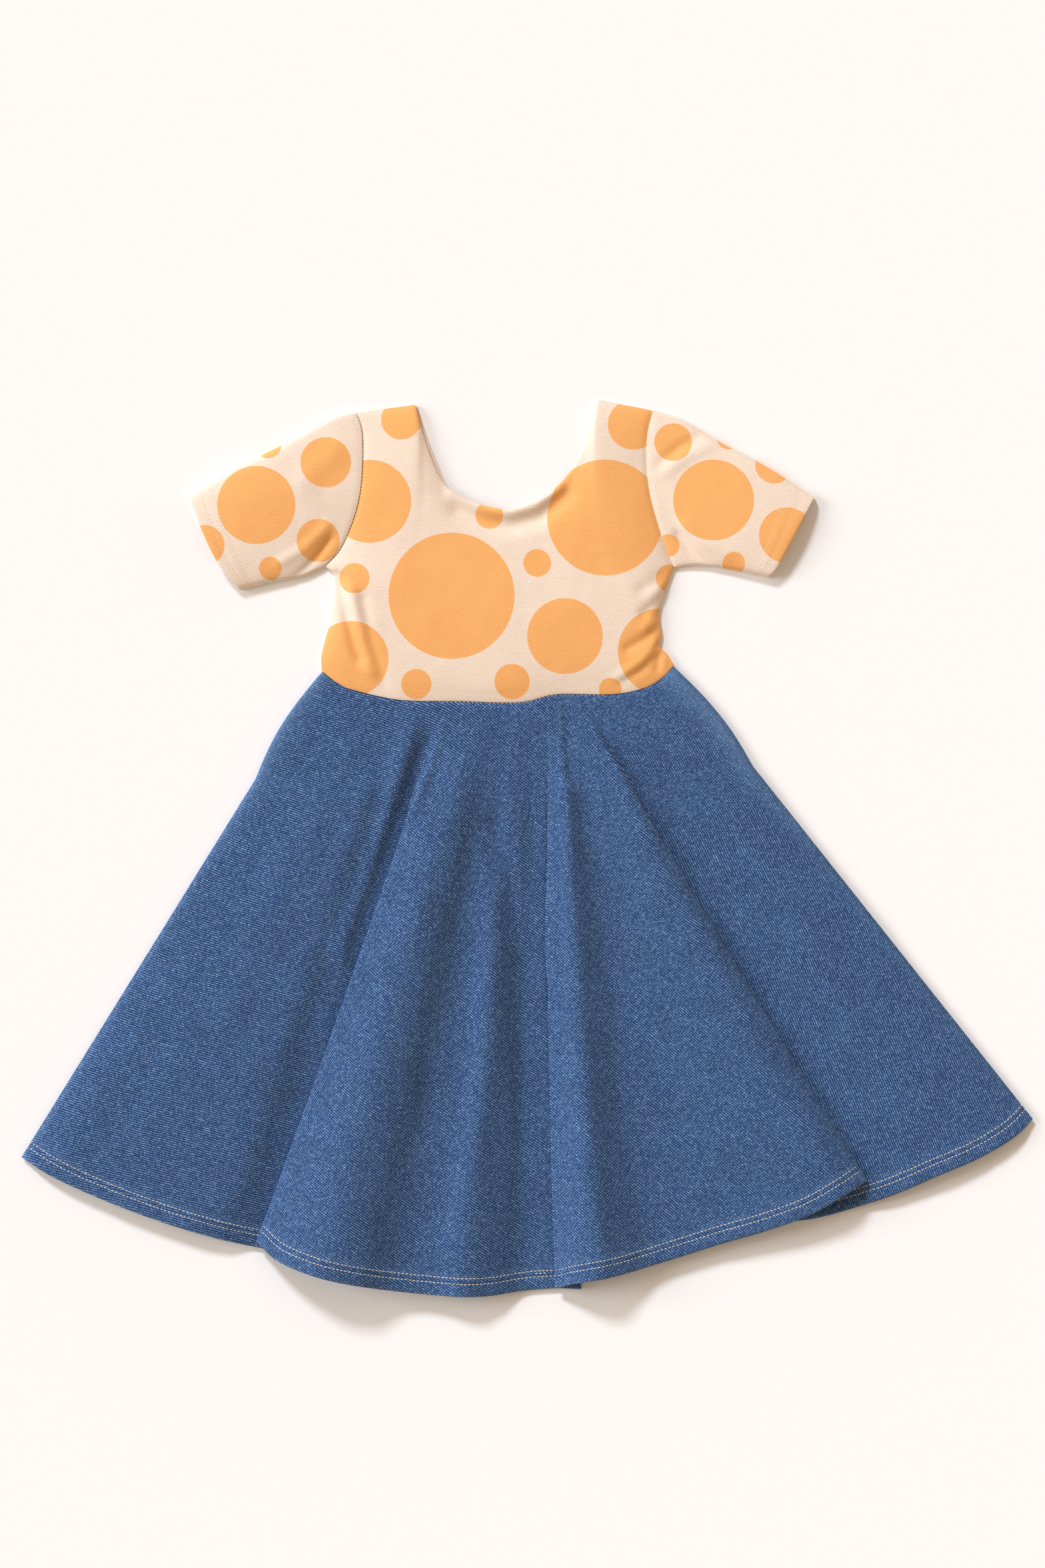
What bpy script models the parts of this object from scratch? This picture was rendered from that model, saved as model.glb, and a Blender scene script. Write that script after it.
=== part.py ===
"""Child's short-sleeved twirl dress lying flat on its back, as six sewn panels.

Lengths are in millimetres and are turned into metres when a mesh is made.
The neck points to +Y, the front of the dress faces +Z, and X runs across it.
The undersides of the two back panels and of the sleeves lie in the plane z = 0.
Every panel is a thin closed wall, made from its middle surface.
"""

import functools
import math

import bmesh
import bpy

COLLECTION_NAME = "twirl_dress"
MM = 0.001
WELD_DISTANCE = 0.00001

# Cloth
JERSEY_WALL = 1.2
DENIM_WALL = 1.6
LAYER_GAP = 0.3
SEAM_GAP = 0.6
UNDERARM_EASE = 1.6
JERSEY_BACK_LIFT = JERSEY_WALL / 2
JERSEY_FRONT_LIFT = JERSEY_WALL * 1.5 + LAYER_GAP
DENIM_BACK_LIFT = DENIM_WALL / 2
DENIM_FRONT_LIFT = DENIM_WALL * 1.5 + LAYER_GAP

# Finish of each cloth: colour, roughness, metallic
JERSEY_FINISH = ((0.93, 0.70, 0.45, 1.0), 0.9, 0.0)
DENIM_FINISH = ((0.06, 0.13, 0.30, 1.0), 0.85, 0.0)

# Waist seam: (across, up)
WAIST_LINE = (
    (-163.0, 140.0),
    (-150.5, 130.6),
    (-136.7, 124.8),
    (-100.2, 117.2),
    (-54.1, 116.3),
    (-5.8, 115.5),
    (23.9, 121.8),
    (67.8, 121.8),
    (92.8, 126.6),
    (107.5, 135.0),
    (116.5, 144.5),
)
WAIST_STEPS = 160
WAIST_RISE = 1.8

# Bodice outline: (across, up)
LEFT_SHOULDER = ((-135.7, 345.3), (-112.0, 348.8), (-89.0, 351.7))
FRONT_NECK = (
    (-89.0, 351.7),
    (-83.7, 330.5),
    (-75.3, 306.6),
    (-67.0, 290.0),
    (-54.0, 279.4),
    (-36.0, 271.6),
    (-15.9, 268.4),
    (3.5, 273.5),
    (21.2, 284.3),
    (36.0, 300.8),
    (46.5, 321.0),
    (53.0, 343.0),
    (55.7, 354.8),
)
BACK_NECK = (
    (-88.0, 352.0),
    (-81.2, 330.5),
    (-72.0, 306.6),
    (-62.0, 286.0),
    (-40.0, 266.0),
    (-15.9, 260.0),
    (8.0, 265.0),
    (30.0, 285.0),
    (46.0, 315.0),
    (56.0, 356.0),
)
RIGHT_SHOULDER = ((55.7, 354.8), (78.0, 351.5), (99.6, 347.2))
LEFT_ARMHOLE = (
    (-135.7, 345.3),
    (-131.2, 330.0),
    (-130.9, 302.9),
    (-133.6, 276.9),
    (-140.5, 254.1),
    (-149.5, 235.6),
    (-160.1, 223.9),
)
LEFT_SIDE = (
    (-160.1, 223.9),
    (-152.5, 214.0),
    (-155.3, 183.6),
    (-160.6, 163.5),
    (-163.5, 150.3),
    (-163.0, 140.0),
)
RIGHT_ARMHOLE = (
    (99.6, 347.2),
    (95.2, 326.0),
    (94.9, 302.9),
    (97.5, 280.6),
    (103.4, 258.4),
    (110.8, 235.6),
    (116.1, 222.9),
)
RIGHT_SIDE = (
    (116.1, 222.9),
    (112.4, 213.3),
    (104.4, 188.0),
    (106.0, 169.5),
    (104.4, 160.0),
    (110.8, 154.0),
    (116.5, 144.5),
)
SHOULDER_COLUMNS = 6
NECK_COLUMNS = 20
ARMHOLE_ROWS = 10
SIDE_ROWS = 9

# Fullness of the bodice front, and how far in from each kind of edge it takes to rise
BODICE_WIDTH = 250.0
BODICE_LENGTH = 190.0
BODICE_FULLNESS = 10.0
ARMHOLE_RISE = 2.6
SIDE_REACH = 7.0
ARMHOLE_REACH = 24.0
SHOULDER_REACH = 14.0
WAIST_REACH = 30.0
SHOULDER_LIFT = 0.4
NECK_REACH = 28.0
NECK_LIFT = 2.2
NECK_SIDE_LIFT = 0.8
NECK_BOTTOM = -12.0
NECK_BOTTOM_REACH = 46.0
NECK_ROLL = 3.2
NECK_ROLL_REACH = 10.0
CREASE_SIDE_REACH = 5.0
CREASE_WAIST_REACH = 20.0

# Soft creases of the bodice front: start, end, height, half width, all (across, up)
BODICE_CREASES = (
    # name, from_across, from_up, to_across, to_up, height, half_width
    ("left fold from underarm", -149.0, 214.0, -133.0, 150.0, -4.2, 6.0),
    ("left roll beside it", -138.0, 205.0, -124.0, 136.0, 2.6, 9.0),
    ("right tuck at the waist", 112.0, 152.0, 88.0, 138.0, -4.0, 5.0),
    ("right fold over the tuck", 106.0, 161.0, 60.0, 132.0, 3.2, 7.0),
    ("right trough above it", 102.0, 176.0, 76.0, 158.0, -3.0, 6.5),
    ("right underarm trough", 104.0, 214.0, 84.0, 196.0, -2.2, 9.0),
)

# Sleeve outlines: (across, up)
LEFT_SLEEVE_TOP = (
    (-135.7, 345.3),
    (-149.5, 343.0),
    (-168.0, 334.2),
    (-190.8, 321.4),
    (-239.0, 297.1),
    (-268.7, 279.0),
)
LEFT_SLEEVE_UNDER = (
    (-160.1, 223.9),
    (-179.7, 215.4),
    (-201.9, 211.7),
    (-228.4, 205.4),
)
LEFT_CUFF = (
    (-268.7, 279.0),
    (-256.0, 247.0),
    (-244.3, 224.5),
    (-228.4, 205.4),
)
RIGHT_SLEEVE_TOP = (
    (99.6, 347.2),
    (125.6, 337.9),
    (155.3, 320.4),
    (188.7, 302.9),
    (227.9, 278.0),
)
RIGHT_SLEEVE_UNDER = (
    (116.1, 222.9),
    (133.0, 224.5),
    (155.0, 222.8),
    (190.8, 215.4),
)
RIGHT_CUFF = (
    (227.9, 278.0),
    (210.4, 245.1),
    (197.5, 221.5),
    (190.8, 215.4),
)
SLEEVE_TURN = 1.9
SLEEVE_FULLNESS = 8.0
SLEEVE_DEPTH = 110.0
SLEEVE_ROWS = 11

# Creases of the sleeves
SLEEVE_CREASES = (
    # name, from_across, from_up, to_across, to_up, height, half_width
    ("left underarm crease", -156.0, 238.0, -182.0, 218.0, -3.6, 7.0),
    ("left cap roll", -150.0, 318.0, -178.0, 292.0, 1.6, 10.0),
    ("right cap crease", 102.0, 304.0, 138.0, 327.0, -2.6, 8.0),
    ("right underarm crease", 120.0, 246.0, 140.0, 226.0, -3.4, 7.0),
)

# Skirt front, from its left side seam to its right one.
# Each row is one ruling of the flare: where it leaves the waist, and where it meets the hem.
# Carried is how far a fold's hidden layers hold that ruling up all along its length.
LEFT_PANEL = (
    # name, waist_across, hem_across, hem_up, hem_lift, carried
    ("left side seam", -163.0, -401.5, -245.7, DENIM_FRONT_LIFT, 0.0),
    ("left edge roll", -154.0, -380.0, -259.0, 9.0, 1.0),
    ("left panel full", -138.0, -339.7, -277.5, 11.0, 3.0),
    ("left panel middle", -120.0, -286.7, -297.5, 12.0, 6.5),
    ("left panel dips", -101.0, -243.0, -310.5, 10.0, 7.0),
    ("left panel under the fold", -86.0, -218.0, -316.4, 3.8, 0.0),
    ("left panel hidden", -76.5, -190.0, -322.5, 3.5, 0.0),
)
CENTRE_PANEL = (
    # name, waist_across, hem_across, hem_up, hem_lift, carried
    ("centre rises", -54.0, -200.0, -325.5, 19.0, 8.5),
    ("centre near crest", -47.0, -184.0, -332.8, 27.0, 9.5),
    ("centre crest", -39.0, -163.0, -339.8, 32.0, 9.5),
    ("centre falls", -31.0, -139.0, -345.2, 28.5, 7.0),
    ("centre low", -22.5, -108.0, -350.5, 16.0, 2.0),
    ("centre swell foot", -15.0, -78.0, -353.8, 14.0, 1.0),
    ("centre swell", -8.0, -50.0, -355.4, 19.0, 2.0),
    ("centre swell falls", -1.0, -28.0, -354.8, 12.5, 1.0),
    ("centre floor", 7.0, -6.0, -351.8, 4.2, 0.0),
    ("centre floor end", 14.5, 14.0, -350.0, 2.9, 0.0),
)
RIGHT_CENTRE_PANEL = (
    # name, waist_across, hem_across, hem_up, hem_lift, carried
    ("narrow ridge foot", 23.0, 32.0, -346.6, 15.5, 4.5),
    ("narrow ridge", 24.4, 45.0, -343.4, 25.0, 6.0),
    ("narrow ridge crest", 25.8, 58.0, -341.0, 28.0, 6.5),
    ("narrow ridge falls", 27.2, 76.0, -337.4, 20.5, 5.0),
    ("narrow ridge end", 28.6, 97.0, -331.6, 12.5, 3.0),
    ("right centre low", 30.0, 122.0, -324.0, 10.5, 2.5),
    ("right centre rises", 31.4, 154.0, -313.8, 11.5, 3.5),
    ("right centre full", 32.8, 190.0, -303.2, 14.5, 6.5),
    ("right centre crest", 34.2, 226.0, -289.6, 18.5, 9.0),
    ("right centre edge", 35.6, 252.0, -274.6, 19.5, 9.0),
)
RIGHT_PANEL = (
    # name, waist_across, hem_across, hem_up, hem_lift, carried
    ("right panel hidden", 55.0, 225.8, -294.6, 3.4, 0.0),
    ("right panel shows", 61.5, 256.0, -286.8, 4.2, 0.0),
    ("right panel rises", 70.5, 292.0, -274.8, 7.5, 0.0),
    ("right panel full", 81.0, 328.0, -259.2, 9.5, 0.0),
    ("right panel middle", 92.5, 362.0, -244.4, 9.0, 0.0),
    ("right edge roll", 105.0, 390.0, -227.0, 6.5, 0.0),
    ("right side seam", 116.5, 401.5, -215.4, DENIM_FRONT_LIFT, 0.0),
)
CARRIED_FROM = 0.28

# Folds of the skirt front, between those panels.
# The upper layer ends at the tip; the cloth turns under there and comes back at the tuck.
# Lifts are of the lower layer, the middle one at the tuck and at the tip, and the upper layer.
SKIRT_FOLDS = {
    "left": {
        "waist_across": -63.5,
        "tip": (-214.5, -313.5),
        "tuck": (-158.0, -329.4),
        "lifts": (3.5, 6.4, 8.4, 12.0),
        "spread_at_waist": 1.6,
        "opens": 0.05,
        "overlaps": 0.19,
        "bow": 2.0,
    },
    "notch": {
        "waist_across": 19.0,
        "tip": (23.3, -349.0),
        "tuck": (42.2, -350.2),
        "lifts": (2.9, 5.1, 6.5, 8.8),
        "spread_at_waist": 0.7,
        "opens": 0.18,
        "overlaps": 0.44,
        "bow": -3.5,
    },
    "right": {
        "waist_across": 40.0,
        "tip": (269.2, -264.2),
        "tuck": (189.0, -299.0),
        "lifts": (3.6, 6.4, 8.6, 12.2),
        "spread_at_waist": 1.2,
        "opens": 0.05,
        "overlaps": 0.20,
        "bow": -2.5,
    },
}
FOLD_TURN = 1.7
SKIRT_ROWS = 20
SIDE_FLARE_OUTSET = 6.0
SIDE_FLARE_REACH = 0.22

# Skirt back hem: (across, up), a little short of the front's so that it stays out of sight
BACK_HEM = (
    (-397.5, -243.5),
    (-340.0, -268.5),
    (-225.0, -304.5),
    (-120.0, -330.0),
    (-20.0, -338.0),
    (60.0, -330.0),
    (170.0, -297.0),
    (280.0, -266.0),
    (352.0, -238.0),
    (397.0, -212.5),
)
BACK_SKIRT_COLUMNS = 32
BACK_SKIRT_ROWS = 8


def mix(start, end, share):
    """Point at a share of the way from one point to another."""
    return tuple(a + (b - a) * share for a, b in zip(start, end))


def smooth_step(value, low, high):
    """0 below low, 1 above high, and a soft rise between them."""
    share = min(1.0, max(0.0, (value - low) / (high - low)))
    return share * share * (3.0 - 2.0 * share)


def approach(distance, reach):
    """0 at an edge, nearing 1 as the distance passes the reach."""
    return 1.0 - math.exp(-distance / reach)


def bend(before, start, end, after, share):
    """Catmull-Rom curve between start and end."""
    square = share * share
    cube = square * share
    return tuple(
        0.5 * (2 * b + (c - a) * share + (2 * a - 5 * b + 4 * c - d) * square
               + (3 * b - a - 3 * c + d) * cube)
        for a, b, c, d in zip(before, start, end, after)
    )


def padded(points):
    """The points with one mirrored point more at each end, for the curve's end slopes."""
    first = tuple(2 * a - b for a, b in zip(points[0], points[1]))
    last = tuple(2 * a - b for a, b in zip(points[-1], points[-2]))
    return (first,) + tuple(points) + (last,)


def along(points, share):
    """Point at a share of the length of a smooth curve through the points."""
    spans = [math.dist(a, b) for a, b in zip(points, points[1:])]
    target = share * sum(spans)
    index = 0
    while index < len(spans) - 1 and target > spans[index]:
        target -= spans[index]
        index += 1
    ends = padded(points)
    return bend(*ends[index:index + 4], min(1.0, target / spans[index]))


def height_on(line, across):
    """The up value of a line of (across, up) points at one across value."""
    for start, end in zip(line, line[1:]):
        if across <= end[0] or end is line[-1]:
            share = (across - start[0]) / (end[0] - start[0])
            return start[1] + (end[1] - start[1]) * share
    return line[-1][1]


@functools.cache
def waist_curve():
    return tuple(along(WAIST_LINE, step / WAIST_STEPS) for step in range(WAIST_STEPS + 1))


def waist_point(across):
    return (across, height_on(waist_curve(), across))


def half_seam(across):
    """Half the waist seam's gap, measured straight up where the seam line slopes."""
    slope = (waist_point(across + 1.0)[1] - waist_point(across - 1.0)[1]) / 2.0
    return SEAM_GAP / 2 * math.hypot(1.0, slope)


def waist_bump(across):
    """Extra height of the front layers along the waist, none at the side seams."""
    first = WAIST_LINE[0][0]
    last = WAIST_LINE[-1][0]
    share = min(1.0, max(0.0, (across - first) / (last - first)))
    return WAIST_RISE * math.sin(math.pi * share) ** 0.5 if 0.0 < share < 1.0 else 0.0


def crease_height(creases, across, up):
    """Sum of the soft ridges and troughs at a place, each fading out at its ends."""
    total = 0.0
    for _name, x0, y0, x1, y1, height, half_width in creases:
        run_x = x1 - x0
        run_y = y1 - y0
        length = math.hypot(run_x, run_y)
        share = ((across - x0) * run_x + (up - y0) * run_y) / (length * length)
        aside = ((across - x0) * run_y - (up - y0) * run_x) / length
        beyond = max(0.0, -share, share - 1.0) * length
        total += height * math.exp(-(aside * aside + beyond * beyond) / half_width ** 2)
    return total


def patch(top, bottom, left, right, across, down):
    """Point of a sheet stretched between four edge curves (a Coons patch)."""
    top_point = top(across)
    bottom_point = bottom(across)
    left_point = left(down)
    right_point = right(down)
    corner_top = mix(top(0.0), top(1.0), across)
    corner_bottom = mix(bottom(0.0), bottom(1.0), across)
    corner = mix(corner_top, corner_bottom, down)
    between_rows = mix(top_point, bottom_point, down)
    between_columns = mix(left_point, right_point, across)
    return tuple(a + b - c for a, b, c in zip(between_rows, between_columns, corner))


def bodice_top(neck, across):
    """Shoulder, neck, shoulder: the top edge of a bodice panel."""
    shoulder_share = SHOULDER_COLUMNS / (2 * SHOULDER_COLUMNS + NECK_COLUMNS)
    if across <= shoulder_share:
        return along((LEFT_SHOULDER[0], LEFT_SHOULDER[1], neck[0]), across / shoulder_share)
    if across >= 1.0 - shoulder_share:
        share = (across - 1.0 + shoulder_share) / shoulder_share
        return along((neck[-1], RIGHT_SHOULDER[1], RIGHT_SHOULDER[2]), share)
    return along(neck, (across - shoulder_share) / (1.0 - 2.0 * shoulder_share))


def bodice_edge(armhole, side, down):
    """Armhole and side seam: a side edge of a bodice panel."""
    armhole_share = ARMHOLE_ROWS / (ARMHOLE_ROWS + SIDE_ROWS)
    if down <= armhole_share:
        return along(armhole, down / armhole_share)
    return along(side, (down - armhole_share) / (1.0 - armhole_share))


def bodice_place(neck, across, down):
    """Place of a bodice panel's point, seen from above, half a gap short of the waist seam."""
    x, y = patch(
        lambda share: bodice_top(neck, share),
        lambda share: along(WAIST_LINE, share),
        lambda share: bodice_edge(LEFT_ARMHOLE, LEFT_SIDE, share),
        lambda share: bodice_edge(RIGHT_ARMHOLE, RIGHT_SIDE, share),
        across,
        down,
    )
    return (x, y + half_seam(x) * down)


def armhole_lift(share):
    """Height of the front layer along an armhole, from the shoulder to the underarm."""
    return JERSEY_BACK_LIFT + SLEEVE_TURN + ARMHOLE_RISE * math.sin(math.pi * share)


def bodice_front_point(across, down):
    x, y = bodice_place(FRONT_NECK, across, down)
    armhole_share = ARMHOLE_ROWS / (ARMHOLE_ROWS + SIDE_ROWS)
    shoulder_share = SHOULDER_COLUMNS / (2 * SHOULDER_COLUMNS + NECK_COLUMNS)
    one_row = 1.0 / (ARMHOLE_ROWS + SIDE_ROWS)
    from_side = min(across, 1.0 - across) * BODICE_WIDTH
    from_top = down * BODICE_LENGTH
    from_waist = (1.0 - down) * BODICE_LENGTH

    # The edge starts low on a side seam and higher on an armhole.
    edge = armhole_lift(down / armhole_share) if down < armhole_share else JERSEY_FRONT_LIFT
    on_side = smooth_step(down, armhole_share - 2 * one_row, armhole_share + 2 * one_row)
    reach = ARMHOLE_REACH + (SIDE_REACH - ARMHOLE_REACH) * on_side
    lift = edge + (BODICE_FULLNESS - edge) * approach(from_side, reach)

    # The shoulder seam lies low, and the neck edge stands a little proud.
    low = JERSEY_FRONT_LIFT + SHOULDER_LIFT
    below_shoulder = low + (lift - low) * approach(from_top, SHOULDER_REACH)
    roll = NECK_ROLL * math.exp(-(from_top / NECK_ROLL_REACH) ** 2)
    at_bottom = math.exp(-((x - NECK_BOTTOM) / NECK_BOTTOM_REACH) ** 2)
    proud = JERSEY_FRONT_LIFT + NECK_SIDE_LIFT + (NECK_LIFT + roll) * at_bottom
    below_neck = proud + (lift - proud) * approach(from_top, NECK_REACH)
    past_shoulder = min(across, 1.0 - across) - shoulder_share
    at_neck = smooth_step(past_shoulder, -one_row / 2, one_row)
    lift = below_shoulder + (below_neck - below_shoulder) * at_neck

    # The waist seam draws the cloth down to the skirt's height.
    waist = JERSEY_FRONT_LIFT + waist_bump(x)
    lift = waist + (lift - waist) * approach(from_waist, WAIST_REACH)
    free = approach(from_side, CREASE_SIDE_REACH) * approach(from_waist, CREASE_WAIST_REACH)
    lift += crease_height(BODICE_CREASES, x, y) * free
    return (x, y, max(lift, JERSEY_FRONT_LIFT))


def bodice_back_point(across, down):
    x, y = bodice_place(BACK_NECK, across, down)
    return (x, y, JERSEY_BACK_LIFT)


def beside(line, share, away):
    """Point a seam gap to the side of a line, away being 1 to its left and -1 to its right.

    The gap widens at the line's end, where the underarm turns in towards the side seam.
    """
    gap = SEAM_GAP * away * (1.0 + UNDERARM_EASE * smooth_step(share, 0.8, 1.0))
    here = along(line, share)
    before = along(line, max(0.0, share - 0.02))
    after = along(line, min(1.0, share + 0.02))
    run = (after[0] - before[0], after[1] - before[1])
    length = math.hypot(*run)
    return (here[0] - run[1] / length * gap, here[1] + run[0] / length * gap)


def sleeve_place(outline, out, across):
    """Place of a sleeve's point: out runs to the cuff, across from its top to its underarm."""
    armhole, cuff, top_edge, under_edge, away = outline
    x, y = patch(
        lambda share: along(top_edge, share),
        lambda share: along(under_edge, share),
        lambda share: along(armhole, share),
        lambda share: along(cuff, share),
        out,
        across,
    )
    on_seam = along(armhole, across)
    off_seam = beside(armhole, across, away)
    near = 1.0 - out
    return (x + (off_seam[0] - on_seam[0]) * near, y + (off_seam[1] - on_seam[1]) * near)


def sleeve_columns():
    """Shares across one layer of a sleeve: its armhole steps, but for the turns at the ends."""
    turn_share = SLEEVE_TURN / 2 / SLEEVE_DEPTH
    inner = [step / ARMHOLE_ROWS for step in range(1, ARMHOLE_ROWS)]
    return [turn_share] + inner + [1.0 - turn_share]


def sleeve_point(outline, around, out):
    """Point of a sleeve's flattened tube: over the top, then back underneath."""
    layer = sleeve_columns()
    ring = [0.0] + layer + [1.0] + layer[::-1] + [0.0]
    step = round(around * (len(ring) - 1))
    across = ring[step]
    x, y = sleeve_place(outline, out, across)
    if across in (0.0, 1.0):
        return (x, y, JERSEY_BACK_LIFT + SLEEVE_TURN / 2)
    if step > len(layer) + 1:
        return (x, y, JERSEY_BACK_LIFT)
    cap = ARMHOLE_RISE * math.sin(math.pi * across)
    full = SLEEVE_FULLNESS * math.sin(math.pi * across) ** 0.34
    swell = cap + (full - cap) * smooth_step(out, -0.15, 0.75)
    hold = math.sin(math.pi * across) ** 0.5 * smooth_step(out, 0.0, 0.2)
    crease = crease_height(SLEEVE_CREASES, x, y) * hold
    return (x, y, JERSEY_BACK_LIFT + SLEEVE_TURN + max(0.0, swell + crease))


def side_outset(drop):
    """How far the skirt's side edges swing out just below the waist."""
    if drop >= SIDE_FLARE_REACH:
        return 0.0
    return SIDE_FLARE_OUTSET * math.sin(math.pi * drop / SIDE_FLARE_REACH)


def ruling_point(ruling, drop):
    """Point on a ruling of the skirt front, at a share of the drop from waist to hem."""
    waist_across, hem_across, hem_up, hem_lift, carried = ruling
    x, y = mix(waist_point(waist_across), (hem_across, hem_up), drop)
    y -= half_seam(waist_across) * (1.0 - drop)
    waist_lift = DENIM_FRONT_LIFT + waist_bump(waist_across)
    held = carried * smooth_step(drop, 0.0, CARRIED_FROM)
    return (x, y, waist_lift + held + (hem_lift - waist_lift - carried) * drop)


def finer(rows, steps):
    """The rulings of a panel without their names, with others on a smooth curve between."""
    rulings = [row[1:] for row in rows]
    ends = padded(rulings)
    fine = []
    for index in range(len(rulings) - 1):
        fine += [bend(*ends[index:index + 4], step / steps) for step in range(steps)]
    return fine + [rulings[-1]]


def fold_points(fold, drop):
    """The six columns of a fold, in order from the lower layer to the upper one.

    Near the waist they lie side by side, and further down they close into the fold.
    """
    waist_across = fold["waist_across"]
    reach = math.dist(fold["tip"], fold["tuck"])
    direction = tuple((b - a) / reach for a, b in zip(fold["tip"], fold["tuck"]))
    heading = 1.0 if direction[0] > 0.0 else -1.0
    bow = fold["bow"] * math.sin(math.pi * drop)
    tip = mix(waist_point(waist_across), fold["tip"], drop)
    overlap = reach * max(0.0, drop - fold["overlaps"]) / (1.0 - fold["overlaps"])
    folded = (overlap - FOLD_TURN, overlap, overlap - FOLD_TURN, FOLD_TURN, 0.0, FOLD_TURN)
    closed = smooth_step(drop, fold["opens"], fold["overlaps"])

    low, at_tuck, at_tip, high = fold["lifts"]
    lifts = (low, (low + at_tuck) / 2, at_tuck, at_tip, (at_tip + high) / 2, high)
    waist_lift = DENIM_FRONT_LIFT + waist_bump(waist_across)
    rise = smooth_step(drop, 0.0, fold["overlaps"])
    points = []
    for index, (place, lift) in enumerate(zip(folded, lifts)):
        aside = fold["spread_at_waist"] * (index - 2.5)
        at_waist = waist_point(waist_across + heading * aside)
        at_hem = (fold["tip"][0] + direction[0] * aside, fold["tip"][1] + direction[1] * aside)
        side_by_side = mix(at_waist, at_hem, drop)
        in_fold = (tip[0] + direction[0] * place, tip[1] + direction[1] * place)
        x, y = mix(side_by_side, in_fold, closed)
        y -= half_seam(waist_across) * (1.0 - drop)
        points.append((x + bow, y, waist_lift + (lift - waist_lift) * rise))
    return points


def panel_points(rows, steps, drop, before=None, after=None):
    """The rulings of one panel at a drop, with the fold columns that it runs into."""
    points = [ruling_point(ruling, drop) for ruling in finer(rows, steps)]
    if before:
        points.insert(0, before)
    if after:
        points.append(after)
    return points


def skirt_front_row(drop):
    """All columns of the skirt front at a drop, from its left side seam to its right."""
    left_fold = fold_points(SKIRT_FOLDS["left"], drop)
    notch = fold_points(SKIRT_FOLDS["notch"], drop)
    right_fold = list(reversed(fold_points(SKIRT_FOLDS["right"], drop)))
    row = panel_points(LEFT_PANEL, 2, drop, after=left_fold[0])
    row += left_fold[1:-1]
    row += panel_points(CENTRE_PANEL, 1, drop, before=left_fold[-1], after=notch[0])
    row += notch[1:-1]
    row += panel_points(RIGHT_CENTRE_PANEL, 1, drop, before=notch[-1], after=right_fold[0])
    row += right_fold[1:-1]
    row += panel_points(RIGHT_PANEL, 2, drop, before=right_fold[-1])
    outset = side_outset(drop)
    for index, share in enumerate((1.0, 0.9, 0.6, 0.3)):
        left = row[index]
        right = row[-1 - index]
        row[index] = (left[0] - outset * share, left[1], left[2])
        row[-1 - index] = (right[0] + outset * share, right[1], right[2])
    return row


def skirt_back_point(across, drop):
    top = along(WAIST_LINE, across)
    bottom = along(BACK_HEM, across)
    x, y = mix((top[0], top[1] - half_seam(top[0])), bottom, drop)
    outset = side_outset(drop) * (abs(2.0 * across - 1.0) ** 6)
    direction = 1.0 if across > 0.5 else -1.0
    return (x + direction * outset, y, DENIM_BACK_LIFT)


def make_material(name, finish):
    colour, roughness, metallic = finish
    material = bpy.data.materials.new(name)
    material.use_nodes = True
    shader = material.node_tree.nodes["Principled BSDF"]
    shader.inputs["Base Color"].default_value = colour
    shader.inputs["Roughness"].default_value = roughness
    shader.inputs["Metallic"].default_value = metallic
    return material


def make_panel(collection, name, columns, rows, point, wall, finish, is_tube=False):
    """A grid laid on the panel's middle surface, given its wall by Solidify."""
    grid = bmesh.new()
    bmesh.ops.create_grid(grid, x_segments=columns, y_segments=rows, size=0.5)
    for vertex in grid.verts:
        across = round((vertex.co.x + 0.5) * columns) / columns
        down = round((0.5 - vertex.co.y) * rows) / rows
        vertex.co = [value * MM for value in point(across, down)]
    if is_tube:
        bmesh.ops.remove_doubles(grid, verts=grid.verts, dist=WELD_DISTANCE)
    mesh = bpy.data.meshes.new(name)
    grid.to_mesh(mesh)
    grid.free()
    panel = bpy.data.objects.new(name, mesh)
    collection.objects.link(panel)
    panel.data.materials.append(make_material(name, finish))
    solidify = panel.modifiers.new("wall", "SOLIDIFY")
    solidify.thickness = wall * MM
    solidify.offset = 0.0
    solidify.use_even_offset = True
    solidify.use_quality_normals = True
    panel.data.shade_smooth()
    return panel


def make_bodice(collection):
    columns = 2 * SHOULDER_COLUMNS + NECK_COLUMNS
    rows = ARMHOLE_ROWS + SIDE_ROWS
    for name, point in (("bodice_front", bodice_front_point), ("bodice_back", bodice_back_point)):
        make_panel(collection, name, columns, rows, point, JERSEY_WALL, JERSEY_FINISH)


def make_sleeves(collection):
    outlines = {
        "sleeve_left": (LEFT_ARMHOLE, LEFT_CUFF, LEFT_SLEEVE_TOP, LEFT_SLEEVE_UNDER, -1.0),
        "sleeve_right": (RIGHT_ARMHOLE, RIGHT_CUFF, RIGHT_SLEEVE_TOP, RIGHT_SLEEVE_UNDER, 1.0),
    }
    for name, outline in outlines.items():
        make_panel(
            collection, name, 2 * (len(sleeve_columns()) + 1), SLEEVE_ROWS,
            lambda around, out, outline=outline: sleeve_point(outline, around, out),
            JERSEY_WALL, JERSEY_FINISH, is_tube=True,
        )


def make_skirt(collection):
    drops = [row / SKIRT_ROWS for row in range(SKIRT_ROWS + 1)]
    skirt_rows = [skirt_front_row(drop) for drop in drops]
    columns = len(skirt_rows[0]) - 1
    make_panel(
        collection, "skirt_front", columns, SKIRT_ROWS,
        lambda across, down: skirt_rows[round(down * SKIRT_ROWS)][round(across * columns)],
        DENIM_WALL, DENIM_FINISH,
    )
    make_panel(
        collection, "skirt_back", BACK_SKIRT_COLUMNS, BACK_SKIRT_ROWS,
        skirt_back_point, DENIM_WALL, DENIM_FINISH,
    )


def clear_scene():
    for old in list(bpy.data.objects):
        bpy.data.objects.remove(old, do_unlink=True)


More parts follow.
